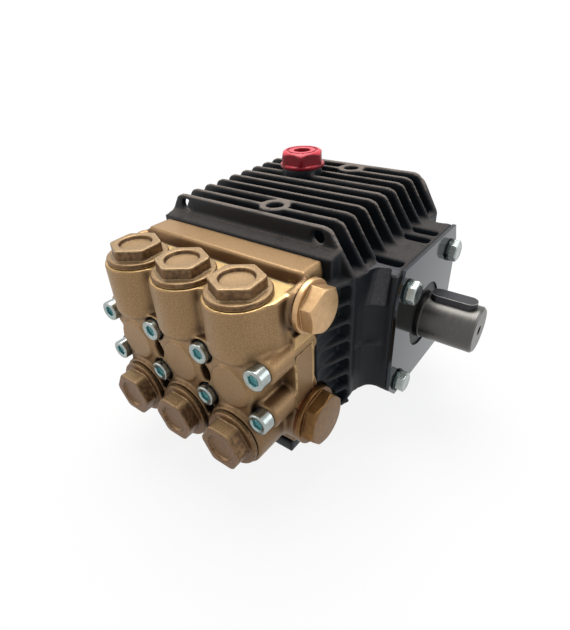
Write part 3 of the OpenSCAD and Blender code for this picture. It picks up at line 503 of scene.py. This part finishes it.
FINISHES = {
    "case_black": case_black, "brass_cast": brass_cast, "brass_cap": brass_cap,
    "brass_plug": brass_plug, "copper": copper,
    "shaft_steel": finish("shaft_steel", rgb(150, 146, 140), 1.0, 0.34, paint=paint_shaft),
    "key_steel": finish("key_steel", rgb(70, 70, 72), 0.9, 0.42, paint=paint_key, grain=0.3, grain_mm=0.4),
    "screw_zinc": finish("screw_zinc", rgb(210, 218, 214), 0.9, 0.24, paint=paint_screw, edge_mm=0.35),
    "cover_plate": finish("cover_plate", rgb(61, 64, 68), 1.0, 0.1, paint=paint_plate),
    "gasket": finish("gasket", rgb(18, 18, 18), 0.0, 0.75, grain=0.4, grain_mm=0.6),
    "rubber": finish("rubber", rgb(30, 30, 31), 0.0, 0.55, grain=0.2, grain_mm=0.8),
    "red_plastic": finish("red_plastic", rgb(196, 30, 48), 0.0, 0.34, paint=paint_plastic, edge_mm=0.5,
                          sockets={"Specular IOR Level": 0.3}),
    "sight_glass": finish("sight_glass", rgb(190, 150, 60), 0.0, 0.08,
                          sockets={"Coat Weight": 1.0, "Coat Roughness": 0.03}),
}
for part in frame["record"]["subparts"]:
    piece = nodes[part["node"]]
    piece.data.materials.clear()
    piece.data.materials.append(FINISHES[part["material_slot"]])
print("finishes:", sorted(FINISHES))

# %% [markdown]
# ## Skins made of rings
# A screw, a cap and a plug are all turned or forged round one axis, so each can be written as a stack
# of rings from its foot to its crown. A ring is a circle, or a hexagon whose corners are limited by a
# circle, which is just how a spanner head gets its turned-down corners. Stacking the rings by hand
# gives even, closed faces, and small arcs between them give the soft edges that catch the light. A
# Screw modifier would do for the round ones, but it can't pass from a circle to a hexagon.

# %% Rings and skins
AROUND = 96
ANGLES = np.arange(AROUND) * 2 * math.pi / AROUND


def circle(height, radius, deep=0.0):
    return height, np.full(AROUND, float(radius)), deep


def hexagon(height, across, limit=99.0, grow=0.0, deep=0.0, crisp=200):
    """A hexagon of that size across flats, whose corners reach no further than limit, in mm. A low
    crisp rounds its corners."""
    sector = np.radians((np.degrees(ANGLES) + 30) % 60 - 30)
    flat = across / 2 / np.cos(sector)
    return height, (flat ** -float(crisp) + limit ** -float(crisp)) ** (-1 / crisp) + grow, deep


def arc(height, radius, size, start, end, steps=5, deep=0.0):
    """Circles along a quarter round or a fillet; the arc's centre is at height and radius."""
    angles = [math.radians(start + (end - start) * i / steps) for i in range(steps + 1)]
    return [circle(height + size * math.sin(a), radius + size * math.cos(a), deep) for a in angles]


def spanner_head(low, high, across, face, steps=6):
    """The flanks of a hexagon from low to high, turned down at 30 degrees to a circle at its face."""
    corner = across / 2 / math.cos(math.radians(30))
    drop = (corner - face) * math.tan(math.radians(30))
    rows = [hexagon(low, across)]
    for i in range(steps + 1):
        share = i / steps
        rows.append(hexagon(high - drop * (1 - share), across, corner + (face - corner) * share + 1e-3))
    return rows


def skin(name, rows, slot, turn=0.0, sharp_over=32):
    """A closed mesh through the rings, its foot at the origin and its axis along Z, in metres."""
    heights = np.array([row[0] for row in rows])
    radii = np.stack([row[1] for row in rows])
    deep = np.repeat([row[2] for row in rows], AROUND)
    angles = ANGLES + math.radians(turn)
    points = np.stack([radii * np.cos(angles), radii * np.sin(angles),
                       np.repeat(heights[:, None], AROUND, 1)], 2).reshape(-1, 3) * mm
    points = np.vstack([points, [[0, 0, heights[0] * mm], [0, 0, heights[-1] * mm]]])
    foot, crown = len(points) - 2, len(points) - 1
    faces = []
    for k in range(AROUND):
        after = (k + 1) % AROUND
        faces.append((foot, after, k))
        faces.append((crown, crown - 1 - AROUND + k, crown - 1 - AROUND + after))
        for row in range(len(rows) - 1):
            low, high = row * AROUND, (row + 1) * AROUND
            faces.append((low + k, low + after, high + after, high + k))
    mesh = bpy.data.meshes.new(name)
    mesh.from_pydata(points.tolist(), [], faces)
    values = mesh.attributes.new("deep", "FLOAT", "POINT")
    values.data.foreach_set("value", np.append(deep, [rows[0][2], rows[-1][2]]).astype(np.float32))
    mesh.shade_smooth()
    mesh.set_sharp_from_angle(angle=math.radians(sharp_over))
    mesh.materials.append(FINISHES[slot])
    return mesh


def middle(node):
    low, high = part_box(node)
    return (low + high) / 2


print("points in a ring:", AROUND)

# %% [markdown]
# ## The screws
# Eight socket screws clamp the manifold, and twelve hexagon screws with washers hold the bearing
# plates and the rear cover. Each kind is modelled once: head, chamfers, socket and shank. The shank
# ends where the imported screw's does, so the piece really holds something.

# %% One screw of each kind
SOCKET_HEAD_H, SOCKET_HEAD_R, SHANK_R = 6.0, 5.0, 2.9
WASHER_H, WASHER_R, HEX_HEAD_H, HEX_ACROSS, HEX_FACE_R = 1.0, 6.0, 4.0, 10.0, 4.55
# The manifold's screws seat in this plane, in mm
SCREW_SEAT_Y = -99.7


def shank_rows(shank):
    return [circle(-shank, SHANK_R - 0.5), circle(-shank + 0.5, SHANK_R), circle(0, SHANK_R)]


def socket_screw(name, shank):
    rows = shank_rows(shank)
    rows += [circle(0, SOCKET_HEAD_R - 0.15), circle(0.15, SOCKET_HEAD_R)]
    rows += arc(SOCKET_HEAD_H - 0.7, SOCKET_HEAD_R - 0.7, 0.7, 0, 90)
    rows += [circle(SOCKET_HEAD_H, 3.6), circle(SOCKET_HEAD_H - 0.1, 3.35)]
    rows += [hexagon(SOCKET_HEAD_H - 0.35, 5.0, deep=0.5), hexagon(SOCKET_HEAD_H - 0.8, 5.0, deep=1),
             hexagon(SOCKET_HEAD_H - 1.9, 5.0, deep=1), circle(SOCKET_HEAD_H - 2.1, 1.8, deep=1)]
    return skin(name, rows, "screw_zinc", turn=12)


def hex_screw(name, shank, turn):
    top = WASHER_H + HEX_HEAD_H
    rows = shank_rows(shank)
    rows += [circle(0, WASHER_R - 0.1, 2.0), circle(0.1, WASHER_R, 2.0)]
    rows += arc(WASHER_H - 0.25, WASHER_R - 0.25, 0.25, 0, 90, 3, 2.0)
    rows += [circle(WASHER_H, 5.75, 2.0), circle(WASHER_H + 0.02, 5.0, 2.0)]
    rows += [hexagon(WASHER_H + 0.1, HEX_ACROSS, grow=-0.25)]
    rows += spanner_head(WASHER_H + 0.3, top, HEX_ACROSS, HEX_FACE_R)
    rows += [circle(top, 4.1), circle(top - 0.06, 3.9)]
    return skin(name, rows, "screw_zinc", turn=turn)


plate_x, cover_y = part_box("bearing_cover_right")[1].x / mm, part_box("rear_cover")[1].y / mm
manifold_screw = socket_screw("socket_screw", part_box("manifold_screw_1")[1].y / mm - SCREW_SEAT_Y)
cover_screw = hex_screw("cover_screw", plate_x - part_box("cover_screw_right_1")[0].x / mm, 12)
rear_screw = hex_screw("rear_screw", cover_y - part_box("rear_cover_screws")[0].y / mm, 0)
print("faces of a socket screw:", len(manifold_screw.polygons))

# %% [markdown]
# ## The valve caps
# Six brass caps close the valve chambers: three on top, with a recess in a soft-edged hexagon, and
# three in front, with a shallower one. They are castings, so their hexagons have rounded corners and
# every edge is soft. A low value of `crisp` in the ring formula rounds a hexagon's corners without
# any extra modelling. Under each flange a narrow neck leaves the dark line that shows where cap and
# manifold part.

# %% One cap of each kind
CAP_FLANGE_R, CAP_FLANGE_H, CAP_ACROSS, CAP_DEPTH = 14.15, 2.6, 21.0, 9.0


def soft_hexagon(low, high, across, limit, soft):
    """Flanks with a fillet at the foot and a round edge at the top, as sand casting leaves them."""
    rows = []
    for angle in (0, 22, 45, 68, 90):
        a = math.radians(angle)
        rows.append((low + soft * (1 - math.cos(a)), soft * (1 - math.sin(a))))
    for angle in (0, 18, 36, 54, 72, 90):
        a = math.radians(angle)
        rows.append((high + soft * (math.sin(a) - 1), soft * (math.cos(a) - 1)))
    return [hexagon(height, across, limit, grow, crisp=80) for height, grow in rows]


def cap_foot():
    """Thread, neck and flange, up to the flange's top face."""
    rows = [circle(-CAP_DEPTH, 11.2), circle(-CAP_DEPTH + 1, 12.2), circle(-0.01, 12.2), circle(0.0, 13.2)]
    rows += [circle(0.3, 13.35), circle(0.32, CAP_FLANGE_R - 0.1), circle(0.5, CAP_FLANGE_R)]
    return rows + arc(CAP_FLANGE_H - 0.9, CAP_FLANGE_R - 0.9, 0.9, 0, 90)


top_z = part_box("discharge_cap_1")[1].z / mm
seat_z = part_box("discharge_cap_1")[0].z / mm + CAP_DEPTH
discharge_rows = cap_foot()
discharge_rows += soft_hexagon(CAP_FLANGE_H, top_z - seat_z, CAP_ACROSS, 11.8, 0.5)
discharge_rows += arc(top_z - seat_z - 0.9, 8.2, 0.9, 90, 165)
discharge_rows += arc(top_z - seat_z - 1.35, 6.6, 0.65, -15, -90, 4)
discharge_cap = skin("top_cap", discharge_rows, "brass_cap", turn=5)

front_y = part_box("suction_cap_1")[0].y / mm
suction_seat_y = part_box("suction_cap_1")[1].y / mm - CAP_DEPTH
crown = suction_seat_y - front_y
suction_rows = cap_foot()
suction_rows += soft_hexagon(CAP_FLANGE_H, crown, CAP_ACROSS, 11.6, 0.6)
suction_rows += arc(crown - 0.9, 7.9, 0.9, 90, 150)
suction_rows += arc(crown - 0.55, 6.3, 0.55, -30, -90, 4)
suction_cap = skin("front_cap", suction_rows, "brass_cap", turn=30)
print("cap heights in mm:", round(top_z - seat_z, 2), round(crown, 2))

# %% [markdown]
# ## Rows of copies with Geometry Nodes
# Screws and caps stand in rows and grids, so one small node tree places them all. A mesh line gives
# the places of a row, a second line copied onto it gives a grid, and Instance on Points puts the item
# on each place. The counts, steps and the item are named inputs, so one tree serves six groups.
# Array modifiers would also work, but a grid needs two of them and they can't turn the item.

# %% The tree
def copies_tree():
    tree = bpy.data.node_groups.new("rows_of_copies", "GeometryNodeTree")
    sockets = [("Start", "Vector"), ("Count A", "Int"), ("Step A", "Vector"), ("Count B", "Int"),
               ("Step B", "Vector"), ("Turn", "Vector"), ("Item", "Object"), ("Finish", "Material")]
    for name, kind in sockets:
        tree.interface.new_socket(name, in_out="INPUT", socket_type="NodeSocket" + kind)
    tree.interface.new_socket("Geometry", in_out="OUTPUT", socket_type="NodeSocketGeometry")
    given = tree.nodes.new("NodeGroupInput").outputs

    def step(kind, links, out="Geometry"):
        node = tree.nodes.new("GeometryNode" + kind)
        for socket, source in links.items():
            tree.links.new(source, node.inputs[socket])
        return node.outputs[out]

    row = step("MeshLine", {"Count": given["Count A"], "Start Location": given["Start"],
                            "Offset": given["Step A"]}, "Mesh")
    column = step("MeshLine", {"Count": given["Count B"], "Offset": given["Step B"]}, "Mesh")
    grid = step("InstanceOnPoints", {"Points": row, "Instance": column}, "Instances")
    places = step("RealizeInstances", {"Geometry": grid})
    item = step("ObjectInfo", {"Object": given["Item"]})
    copies = step("InstanceOnPoints", {"Points": places, "Instance": item, "Rotation": given["Turn"]},
                  "Instances")
    solid = step("RealizeInstances", {"Geometry": copies})
    painted = step("SetMaterial", {"Geometry": solid, "Material": given["Finish"]})
    tree.links.new(painted, tree.nodes.new("NodeGroupOutput").inputs["Geometry"])
    return tree


COPIES = copies_tree()


def plain_mesh(host):
    """What the host looks like with its modifiers done, as a mesh of its own."""
    view = bpy.context.evaluated_depsgraph_get()
    mesh = bpy.data.meshes.new_from_object(host.evaluated_get(view))
    bpy.data.objects.remove(host)
    return mesh


def place_piece(name, mesh, slot, replaced, body="pump_body"):
    piece = new_object(name, mesh)
    if not mesh.materials:
        mesh.materials.append(FINISHES[slot])
    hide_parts(*replaced)
    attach(piece, body)
    return piece


def rows_of_copies(name, item_mesh, slot, replaced, start, rows, columns, turn):
    """rows and columns are (count, step in mm); turn is in degrees and start in mm."""
    item = new_object(name + "_item", item_mesh)
    host = new_object(name + "_host", bpy.data.meshes.new(name + "_host"))
    nodes_step = host.modifiers.new("copies", "NODES")
    nodes_step.node_group = COPIES
    values = {"Start": [v * mm for v in start], "Count A": rows[0], "Step A": [v * mm for v in rows[1]],
              "Count B": columns[0], "Step B": [v * mm for v in columns[1]],
              "Turn": [math.radians(v) for v in turn], "Item": item, "Finish": FINISHES[slot]}
    for socket in COPIES.interface.items_tree:
        if socket.in_out == "INPUT":
            nodes_step[socket.identifier] = values[socket.name]
    mesh = plain_mesh(host)
    bpy.data.objects.remove(item)
    print(name, "has", len(mesh.polygons), "faces")
    return place_piece(name, mesh, slot, replaced)


# %% Place the screws and caps
def numbered(stem, count):
    return [f"{stem}_{i + 1}" for i in range(count)]


first, last = middle("manifold_screw_1") / mm, middle("manifold_screw_8") / mm
rows_of_copies("manifold_screws", manifold_screw, "screw_zinc", numbered("manifold_screw", 8),
               (first.x, SCREW_SEAT_Y, first.z), (4, ((last.x - first.x) / 3, 0, 0)),
               (2, (0, 0, last.z - first.z)), (90, 0, 0))

first, last = middle("cover_screw_right_1") / mm, middle("cover_screw_right_4") / mm
for side, angle in (("right", 90), ("left", -90)):
    out = math.copysign(plate_x, angle)
    rows_of_copies("cover_screws_" + side, cover_screw, "screw_zinc", numbered("cover_screw_" + side, 4),
                   (out, first.y, first.z), (2, (0, last.y - first.y, 0)),
                   (2, (0, 0, last.z - first.z)), (0, angle, 0))

low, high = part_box("rear_cover_screws")
reach_x, low_z, high_z = high.x / mm - WASHER_R, low.z / mm + WASHER_R, high.z / mm - WASHER_R
rows_of_copies("rear_screws", rear_screw, "screw_zinc", ["rear_cover_screws"],
               (-reach_x, cover_y, low_z), (2, (2 * reach_x, 0, 0)), (2, (0, 0, high_z - low_z)),
               (-90, 0, 0))

first, last = middle("discharge_cap_1") / mm, middle("discharge_cap_3") / mm
pitch = (last.x - first.x) / 2
rows_of_copies("top_caps", discharge_cap, "brass_cap", numbered("discharge_cap", 3),
               (first.x, first.y, seat_z), (3, (pitch, 0, 0)), (1, (0, 0, 0)), (0, 0, 0))
front_z = middle("suction_cap_1").z / mm
rows_of_copies("front_caps", suction_cap, "brass_cap", numbered("suction_cap", 3),
               (first.x, suction_seat_y, front_z), (3, (pitch, 0, 0)), (1, (0, 0, 0)), (90, 0, 0))

# %% [markdown]
# ## The side plugs and the oil cap
# The two plugs in the manifold's end are turned from bar: crisp hexagons with a 30 degree chamfer,
# so here the corners stay sharp. The oil cap is moulded plastic, with a round groove and a recess in
# its crown for a vent. All three are single pieces, so they are turned into place in their meshes
# without the node tree. The manifold's left end has no plugs.

# %% Plugs
def stand(mesh, place, turn):
    """Turns a skin about X, Y and Z in degrees, and puts its foot at a place in mm."""
    x, y, z = (Matrix.Rotation(math.radians(v), 4, axis) for v, axis in zip(turn, "XYZ"))
    mesh.transform(Matrix.Translation(Vector(place) * mm) @ z @ y @ x)
    return mesh


def plug(node, washer, across, turn, flange_grow=0.0):
    low, high = (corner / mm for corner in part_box(node))
    face_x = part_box(washer)[1].x / mm
    centre = (low + high) / 2
    flange_r, crown = (high.y - low.y) / 2 + flange_grow, high.x - face_x
    foot, shank_r = low.x - face_x, flange_r * 0.56
    rows = [circle(foot, flange_r * 0.5), circle(foot + 1, shank_r), circle(0, shank_r)]
    rows += [circle(0, flange_r - 0.3), circle(0.3, flange_r)]
    rows += arc(1.9, flange_r - 0.6, 0.6, 0, 60, 3) + [circle(2.5, flange_r - 1.9)]
    rows += [hexagon(2.52, across, grow=0.15)] + spanner_head(2.7, crown - 0.02, across, across / 2 - 0.2)
    rows += [circle(crown, across / 2 - 0.45)]
    mesh = skin(node + "_skin", rows, "brass_plug", turn=turn)
    print(node, "flange", round(2 * flange_r, 1), "mm, flats", across, "mm")
    stand(mesh, (face_x, centre.y, centre.z), (0, 90, 0))
    return place_piece(node + "_turned", mesh, "brass_plug", [node])


plug("discharge_plug", "discharge_washer", 18.5, 37, 1.3)
plug("suction_plug", "suction_washer", 24.0, 10)

# %% Oil filler cap
NECK_RISE = 1.5
OIL_ACROSS, OIL_FLANGE_R, OIL_CROWN, OIL_TURN, CROWN_STEPS = 22.0, 12.6, 8.7, 31, 8
low, high = (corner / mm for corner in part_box("oil_filler_cap"))
oil_mid = (low + high) / 2
neck_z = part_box("crankcase")[1].z / mm + NECK_RISE
foot, top = low.z - neck_z, OIL_CROWN
rows = [circle(foot, 8.0), circle(foot + 1, 8.8), circle(0, 8.8), circle(0, OIL_FLANGE_R - 0.3)]
rows += [circle(0.25, OIL_FLANGE_R), circle(1.3, OIL_FLANGE_R), circle(1.7, OIL_FLANGE_R - 0.3)]
rows += [hexagon(2.1, OIL_ACROSS, 12.3, grow=0.2, crisp=90)]
for i in range(CROWN_STEPS + 1):
    share = i / CROWN_STEPS
    rows.append(hexagon(top - 2.0 * (1 - share), OIL_ACROSS, 12.5 - 2.5 * share ** 1.3, crisp=90))
# The groove, then the vent's recess with its pin
rows += [circle(top, 9.6), circle(top, 9.0), circle(top - 0.6, 8.7), circle(top - 0.6, 7.8)]
rows += [circle(top, 7.5), circle(top, 5.4)] + arc(top - 0.5, 5.2, 0.5, 90, 180, 3)
rows += [circle(top - 2.6, 4.6), circle(top - 2.8, 4.3), circle(top - 2.8, 1.2), circle(top - 1.6, 0.9)]
cap_mesh = skin("oil_cap_skin", rows, "red_plastic", turn=OIL_TURN)
stand(cap_mesh, (oil_mid.x, oil_mid.y, neck_z), (0, 0, 0))
place_piece("oil_cap", cap_mesh, "red_plastic", ["oil_filler_cap"])
print("oil cap stands", OIL_CROWN, "mm over its neck")

# %% [markdown]
# ## The castings
# The crankcase and the manifold came out of moulds: no edge is sharp and no corner is square. The
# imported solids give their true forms. A voxel remesh turns such a solid into an even net of small
# faces, smoothing then rounds every edge and fills every inner corner, and the planes that a cutter
# made are held flat. Rounding each edge with a bevel would need fewer faces, but bevels fail where
# many small edges of a casting meet. At the end a decimation takes the faces out of the flat parts.

# %% From solid to casting
HELD_WITHIN, RAIL_END_X, RAIL_END_ROUNDS, FACE_LIMIT = 0.12, 43.5, 14, 190000


def joined(name, meshes):
    """One mesh from several closed ones, with loose triangles joined at their corners."""
    shell = bmesh.new()
    for mesh in meshes:
        shell.from_mesh(mesh)
    bmesh.ops.remove_doubles(shell, verts=shell.verts, dist=0.001 * mm)
    result = bpy.data.meshes.new(name)
    shell.to_mesh(result)
    shell.free()
    return result


def prism(outline, low, high, axis=1):
    """A closed solid between two planes across an axis, from an outline of points in mm."""
    count = len(outline)
    points = [list(p) for p in outline]
    corners = [p[:axis] + [at] + p[axis:] for at in (low, high) for p in points]
    faces = [tuple(range(count)), tuple(range(2 * count - 1, count - 1, -1))]
    faces += [(k, k + count, (k + 1) % count + count, (k + 1) % count) for k in range(count)]
    mesh = bpy.data.meshes.new("prism")
    mesh.from_pydata([[v * mm for v in c] for c in corners], [], faces)
    shell = bmesh.new()
    shell.from_mesh(mesh)
    bmesh.ops.recalc_face_normals(shell, faces=shell.faces)
    shell.to_mesh(mesh)
    shell.free()
    return mesh


def round_outline(middle_point, radius, count=48):
    return [(middle_point[0] + radius * math.cos(2 * math.pi * i / count),
             middle_point[1] + radius * math.sin(2 * math.pi * i / count)) for i in range(count)]


def with_modifier(mesh, kind, **settings):
    host = new_object("casting_host", mesh)
    step = host.modifiers.new(kind, kind)
    for name, value in settings.items():
        setattr(step, name, value)
    return plain_mesh(host)


def points_of(mesh):
    points = np.empty(len(mesh.vertices) * 3)
    mesh.vertices.foreach_get("co", points)
    return points.reshape(-1, 3)


def move_points(mesh, points):
    mesh.vertices.foreach_set("co", points.ravel())
    mesh.update()


def soften(mesh, rounds, planes, above=None):
    """Smooths a net of faces, or with above only the rail's two ends over that height. planes are
    (axis, place in mm) of faces that a cutter made flat."""
    points = points_of(mesh)
    count = len(points)
    ends = np.empty(len(mesh.edges) * 2, int)
    mesh.edges.foreach_get("vertices", ends)
    a, b = ends.reshape(-1, 2).T
    neighbours = np.bincount(a, minlength=count) + np.bincount(b, minlength=count)
    held = [(axis, at * mm, np.abs(points[:, axis] - at * mm) < HELD_WITHIN * mm) for axis, at in planes]
    pace = 0.5
    if above:
        end = (points[:, 2] > above * mm) & (np.abs(points[:, 0]) > RAIL_END_X * mm)
        pace = np.where(end, pace, 0.0)[:, None]
    for _ in range(rounds):
        total = np.stack([np.bincount(a, points[b, k], count) + np.bincount(b, points[a, k], count)
                          for k in range(3)], 1)
        points += (total / neighbours[:, None] - points) * pace
        for axis, at, which in held:
            points[which, axis] = at
    move_points(mesh, points)


def casting(node, name, slot, voxel_mm, rounds, planes, added, trim, on_top=()):
    """The node's solid with what is added to it, as one casting. trim moves points of the raw net, and
    what comes on top keeps its crisp edges."""
    whole = joined(name, [nodes[node].data] + added)
    mesh = with_modifier(whole, "REMESH", mode="VOXEL", voxel_size=voxel_mm * mm)
    points = points_of(mesh)
    trim(points)
    move_points(mesh, points)
    soften(mesh, rounds, planes)
    if node == "manifold":
        soften(mesh, RAIL_END_ROUNDS, planes, above=TURRET_TOP + 0.8)
    found = 2 * len(mesh.polygons)
    if found > FACE_LIMIT:
        mesh = with_modifier(mesh, "DECIMATE", ratio=FACE_LIMIT / found)
    low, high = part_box(node)
    high.z += (NECK_RISE if node == "crankcase" else 0) * mm
    move_points(mesh, np.clip(points_of(mesh), low, high))
    mesh.shade_smooth()
    if on_top:
        mesh = joined(name, [mesh, *on_top])
    mesh.materials.clear()
    mesh.materials.append(FINISHES[slot])
    print(name, "went from", found, "to", sum(len(p.vertices) - 2 for p in mesh.polygons), "triangles")
    return place_piece(name, mesh, slot, [node])


# %% [markdown]
# ### The manifold's front web
# Between the eight screws a web joins the front of the manifold, with the four inner heads sunk half
# into it and two lens-shaped windows that the mould leaves. It is flat outlines pulled into prisms.
# The sinks and windows are cut with a Boolean, because a cut must end exactly at its depth, and the
# voxel remesh then welds the web to the casting by itself.

# %% Front web
WEB_Y, WEB_BACK_Y, SINK_R, CUT_PAST = -103.0, -94.0, 5.8, 6
BOLT_X = [middle(f"manifold_screw_{i}").x / mm for i in (2, 3)]
BOLT_Z = [middle(f"manifold_screw_{i}").z / mm for i in (5, 1)]
DISC_Z, DISC_X = sum(BOLT_Z) / 2, [middle(f"discharge_cap_{i}").x / mm for i in (1, 2, 3)]
web_half, web_low, web_high = 41.5, BOLT_Z[0] - 3.5, BOLT_Z[1] + 4.0
outline = [(-web_half, web_low), (web_half, web_low), (web_half, DISC_Z + 4), (web_half + 3, DISC_Z + 8),
           (web_half + 3, web_high), (-web_half - 3, web_high), (-web_half - 3, DISC_Z + 8),
           (-web_half, DISC_Z + 4)]
places = [(x, z) for x in BOLT_X for z in BOLT_Z]
web = joined("web", [prism(outline, WEB_Y, WEB_BACK_Y)]
             + [prism(round_outline(p, SINK_R + 1.1), WEB_Y + 0.01, WEB_BACK_Y) for p in places])


def lens(middle_x, width=5.8, height=12.0, steps=12):
    """Two arcs that meet in points above and below, round a middle between the discs."""
    radius = (width ** 2 + height ** 2) / (4 * width)
    half = math.asin(height / 2 / radius)
    right = [(middle_x - radius + width / 2 + radius * math.cos(a), DISC_Z + radius * math.sin(a))
             for a in np.linspace(-half, half, steps)]
    left = [(2 * middle_x - x, 2 * DISC_Z - z) for x, z in right]
    return right + left[1:-1]


sinks = [prism(round_outline(p, SINK_R), WEB_Y - CUT_PAST, SCREW_SEAT_Y) for p in places]
windows = [prism(lens(x), WEB_Y - CUT_PAST, WEB_BACK_Y + CUT_PAST) for x in BOLT_X]
cutter = new_object("cutters", joined("cutters", sinks + windows))
web = with_modifier(web, "BOOLEAN", operation="DIFFERENCE", solver="EXACT", use_self=True, object=cutter)
bpy.data.objects.remove(cutter)
print("web faces after the cuts:", len(web.polygons))

# %% [markdown]
# ### The deck and the side panels
# Behind the turrets the top is milled flat as far as the rail, with a shallow trough along the rail's
# foot. The deck is a prism that the remesh welds in. The trough is pressed in afterwards, by moving
# points of the net down to its floor, which is quick and keeps the net closed. A Boolean would be slow
# on a net this fine. The low panel on each end is laid on last, because smoothing would blur its edge.
# One fault is left: the deck fills the front half of the upper left port, which the solid has open.

# %% Deck behind the turrets, and side panels
def loft(outline, low, high, inset):
    """A low raised panel: its top outline is drawn in by inset, which leaves a sloped edge."""
    mid = np.mean(outline, axis=0)
    mesh = prism(outline, low, high, axis=0)
    for k, point in enumerate(np.array(outline)):
        corner = (high, *(point - np.sign(point - mid) * inset))
        mesh.vertices[len(outline) + k].co = [v * mm for v in corner]
    return mesh


DECK_HALF, DECK_BACK, DECK_LOW, TURRET_Y = 48.6, -73.0, 78.0, middle("discharge_cap_1").y / mm
deck = prism([(-DECK_HALF, DECK_BACK), (DECK_HALF, DECK_BACK), (DECK_HALF, TURRET_Y + 2),
              (DECK_HALF - 3, TURRET_Y - 3), (3 - DECK_HALF, TURRET_Y - 3), (-DECK_HALF, TURRET_Y + 2)],
             DECK_LOW, TURRET_TOP, axis=2)
PANEL_Y, PANEL_Z = (-84.0, -71.5), (48.0, 75.0)
PANEL_FOOT_X, PANEL_FACE_X, PANEL_SLOPE = 50.5, 52.0, 0.35
panel_outline = [(PANEL_Y[0], PANEL_Z[0]), (PANEL_Y[1], PANEL_Z[0]),
                 (PANEL_Y[1], PANEL_Z[1]), (PANEL_Y[0], PANEL_Z[1])]
panels = [loft(panel_outline, side * PANEL_FOOT_X, side * PANEL_FACE_X, PANEL_SLOPE) for side in (1, -1)]
print("deck and panels:", len(deck.polygons) + sum(len(p.polygons) for p in panels), "faces")

# %% Cast the manifold and the crankcase
DISC_FRONT, DISC_TRIM_R, PANEL_BED_X = -104.1, 12.6, 51.4
# The deck's front edge, the step at the rail's foot, and how far bore roofs stay under the trough
MILLED_FRONT, RAIL_STEP, ROOF_UNDER = -87.0, 0.4, 0.9


def trim_manifold(points):
    """Brings the three discs down to a low step over the web, mills the deck flat in front of the
    rail with a trough along it, and makes room under the side panels."""
    x, y, z = (points / mm).T
    for disc_x in DISC_X:
        inside = (x - disc_x) ** 2 + (z - DISC_Z) ** 2 < DISC_TRIM_R ** 2
        points[inside, 1] = np.maximum(points[inside, 1], DISC_FRONT * mm)
    under = (y > PANEL_Y[0] - 1) & (y < PANEL_Y[1] + 1) & (z > PANEL_Z[0] - 1) & (z < PANEL_Z[1] + 1)
    points[under, 0] = np.clip(points[under, 0], -PANEL_BED_X * mm, PANEL_BED_X * mm)
    before_rail = (y > MILLED_FRONT) & (y < RAIL_FRONT - RAIL_STEP) & (np.abs(x) < TROUGH_HALF)
    points[before_rail & (z > TURRET_TOP), 2] = TURRET_TOP * mm
    trough = before_rail & (y > TROUGH_FRONT) & (z > TROUGH_FLOOR)
    points[trough, 2] = TROUGH_FLOOR * mm
    points[trough & (z < TURRET_TOP - 0.25), 2] = (TROUGH_FLOOR - ROOF_UNDER) * mm


# The wall beside the bearing housings: it ends at HOUSING_Y, and slopes back by TAPER over TAPER_Z
HOUSING_Y, TAPER_Z, TAPER = -36.5, 80.5, 0.32
WALL_X, WALL_Y = (59.2, 60.6, 62.6, 65.4, 69.0, 72.7), (-47.0, -42.6, -39.2, -37.3, -36.55, HOUSING_Y)


def trim_case(points):
    """Slopes the top of the housing's front wall back, beside the bearing cover's rim."""
    x, y, z = np.abs(points[:, 0]) / mm, points[:, 1] / mm, points[:, 2] / mm
    wall = (x > 59.8) & (x < 68.6) & (z > TAPER_Z) & (z < 98.6) & (y < -25) & (y > -48)
    back = np.interp(x, WALL_X, WALL_Y) + TAPER * (z - TAPER_Z) * np.clip((x - 59.5) / 1.5, 0, 1)
    points[wall, 1] = np.maximum(y, back)[wall] * mm


low, high = (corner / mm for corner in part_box("manifold"))
casting("manifold", "manifold_casting", "brass_cast", 0.75, 4,
        [(2, TURRET_TOP), (2, high.z), (1, high.y), (0, PORT_FACE), (0, -PORT_FACE),
         (1, DISC_FRONT), (1, WEB_Y), (1, SCREW_SEAT_Y)], [web, deck], trim_manifold, panels)
low, high = (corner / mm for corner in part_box("crankcase"))
NECK_R, FIN_TOP, WALL_BACK, WALL_SPAN, RIB_SPAN = 11.0, 118.4, -30.0, (31.5, 97.6), (59.6, 61.4)
neck = prism(round_outline((oil_mid.x, oil_mid.y), NECK_R, 64), high.z - 8, high.z + NECK_RISE, axis=2)
hollow = list(zip(WALL_X, WALL_Y)) + [(WALL_X[-1], WALL_BACK), (WALL_X[0], WALL_BACK)]
rib = [(59.0, -47.2), (60.2, -46.4), (68.0, -36.8), (68.0, -35.0), (59.0, -35.0)]
fills = [prism([(side * x, y) for x, y in outline], *span, axis=2)
         for outline, span in ((hollow, WALL_SPAN), (rib, RIB_SPAN)) for side in (1, -1)]
casting("crankcase", "crankcase_casting", "case_black", 0.8, 3,
        [(2, 0.0), (1, high.y), (0, low.x), (0, high.x), (2, FIN_TOP)], [neck, *fills], trim_case)
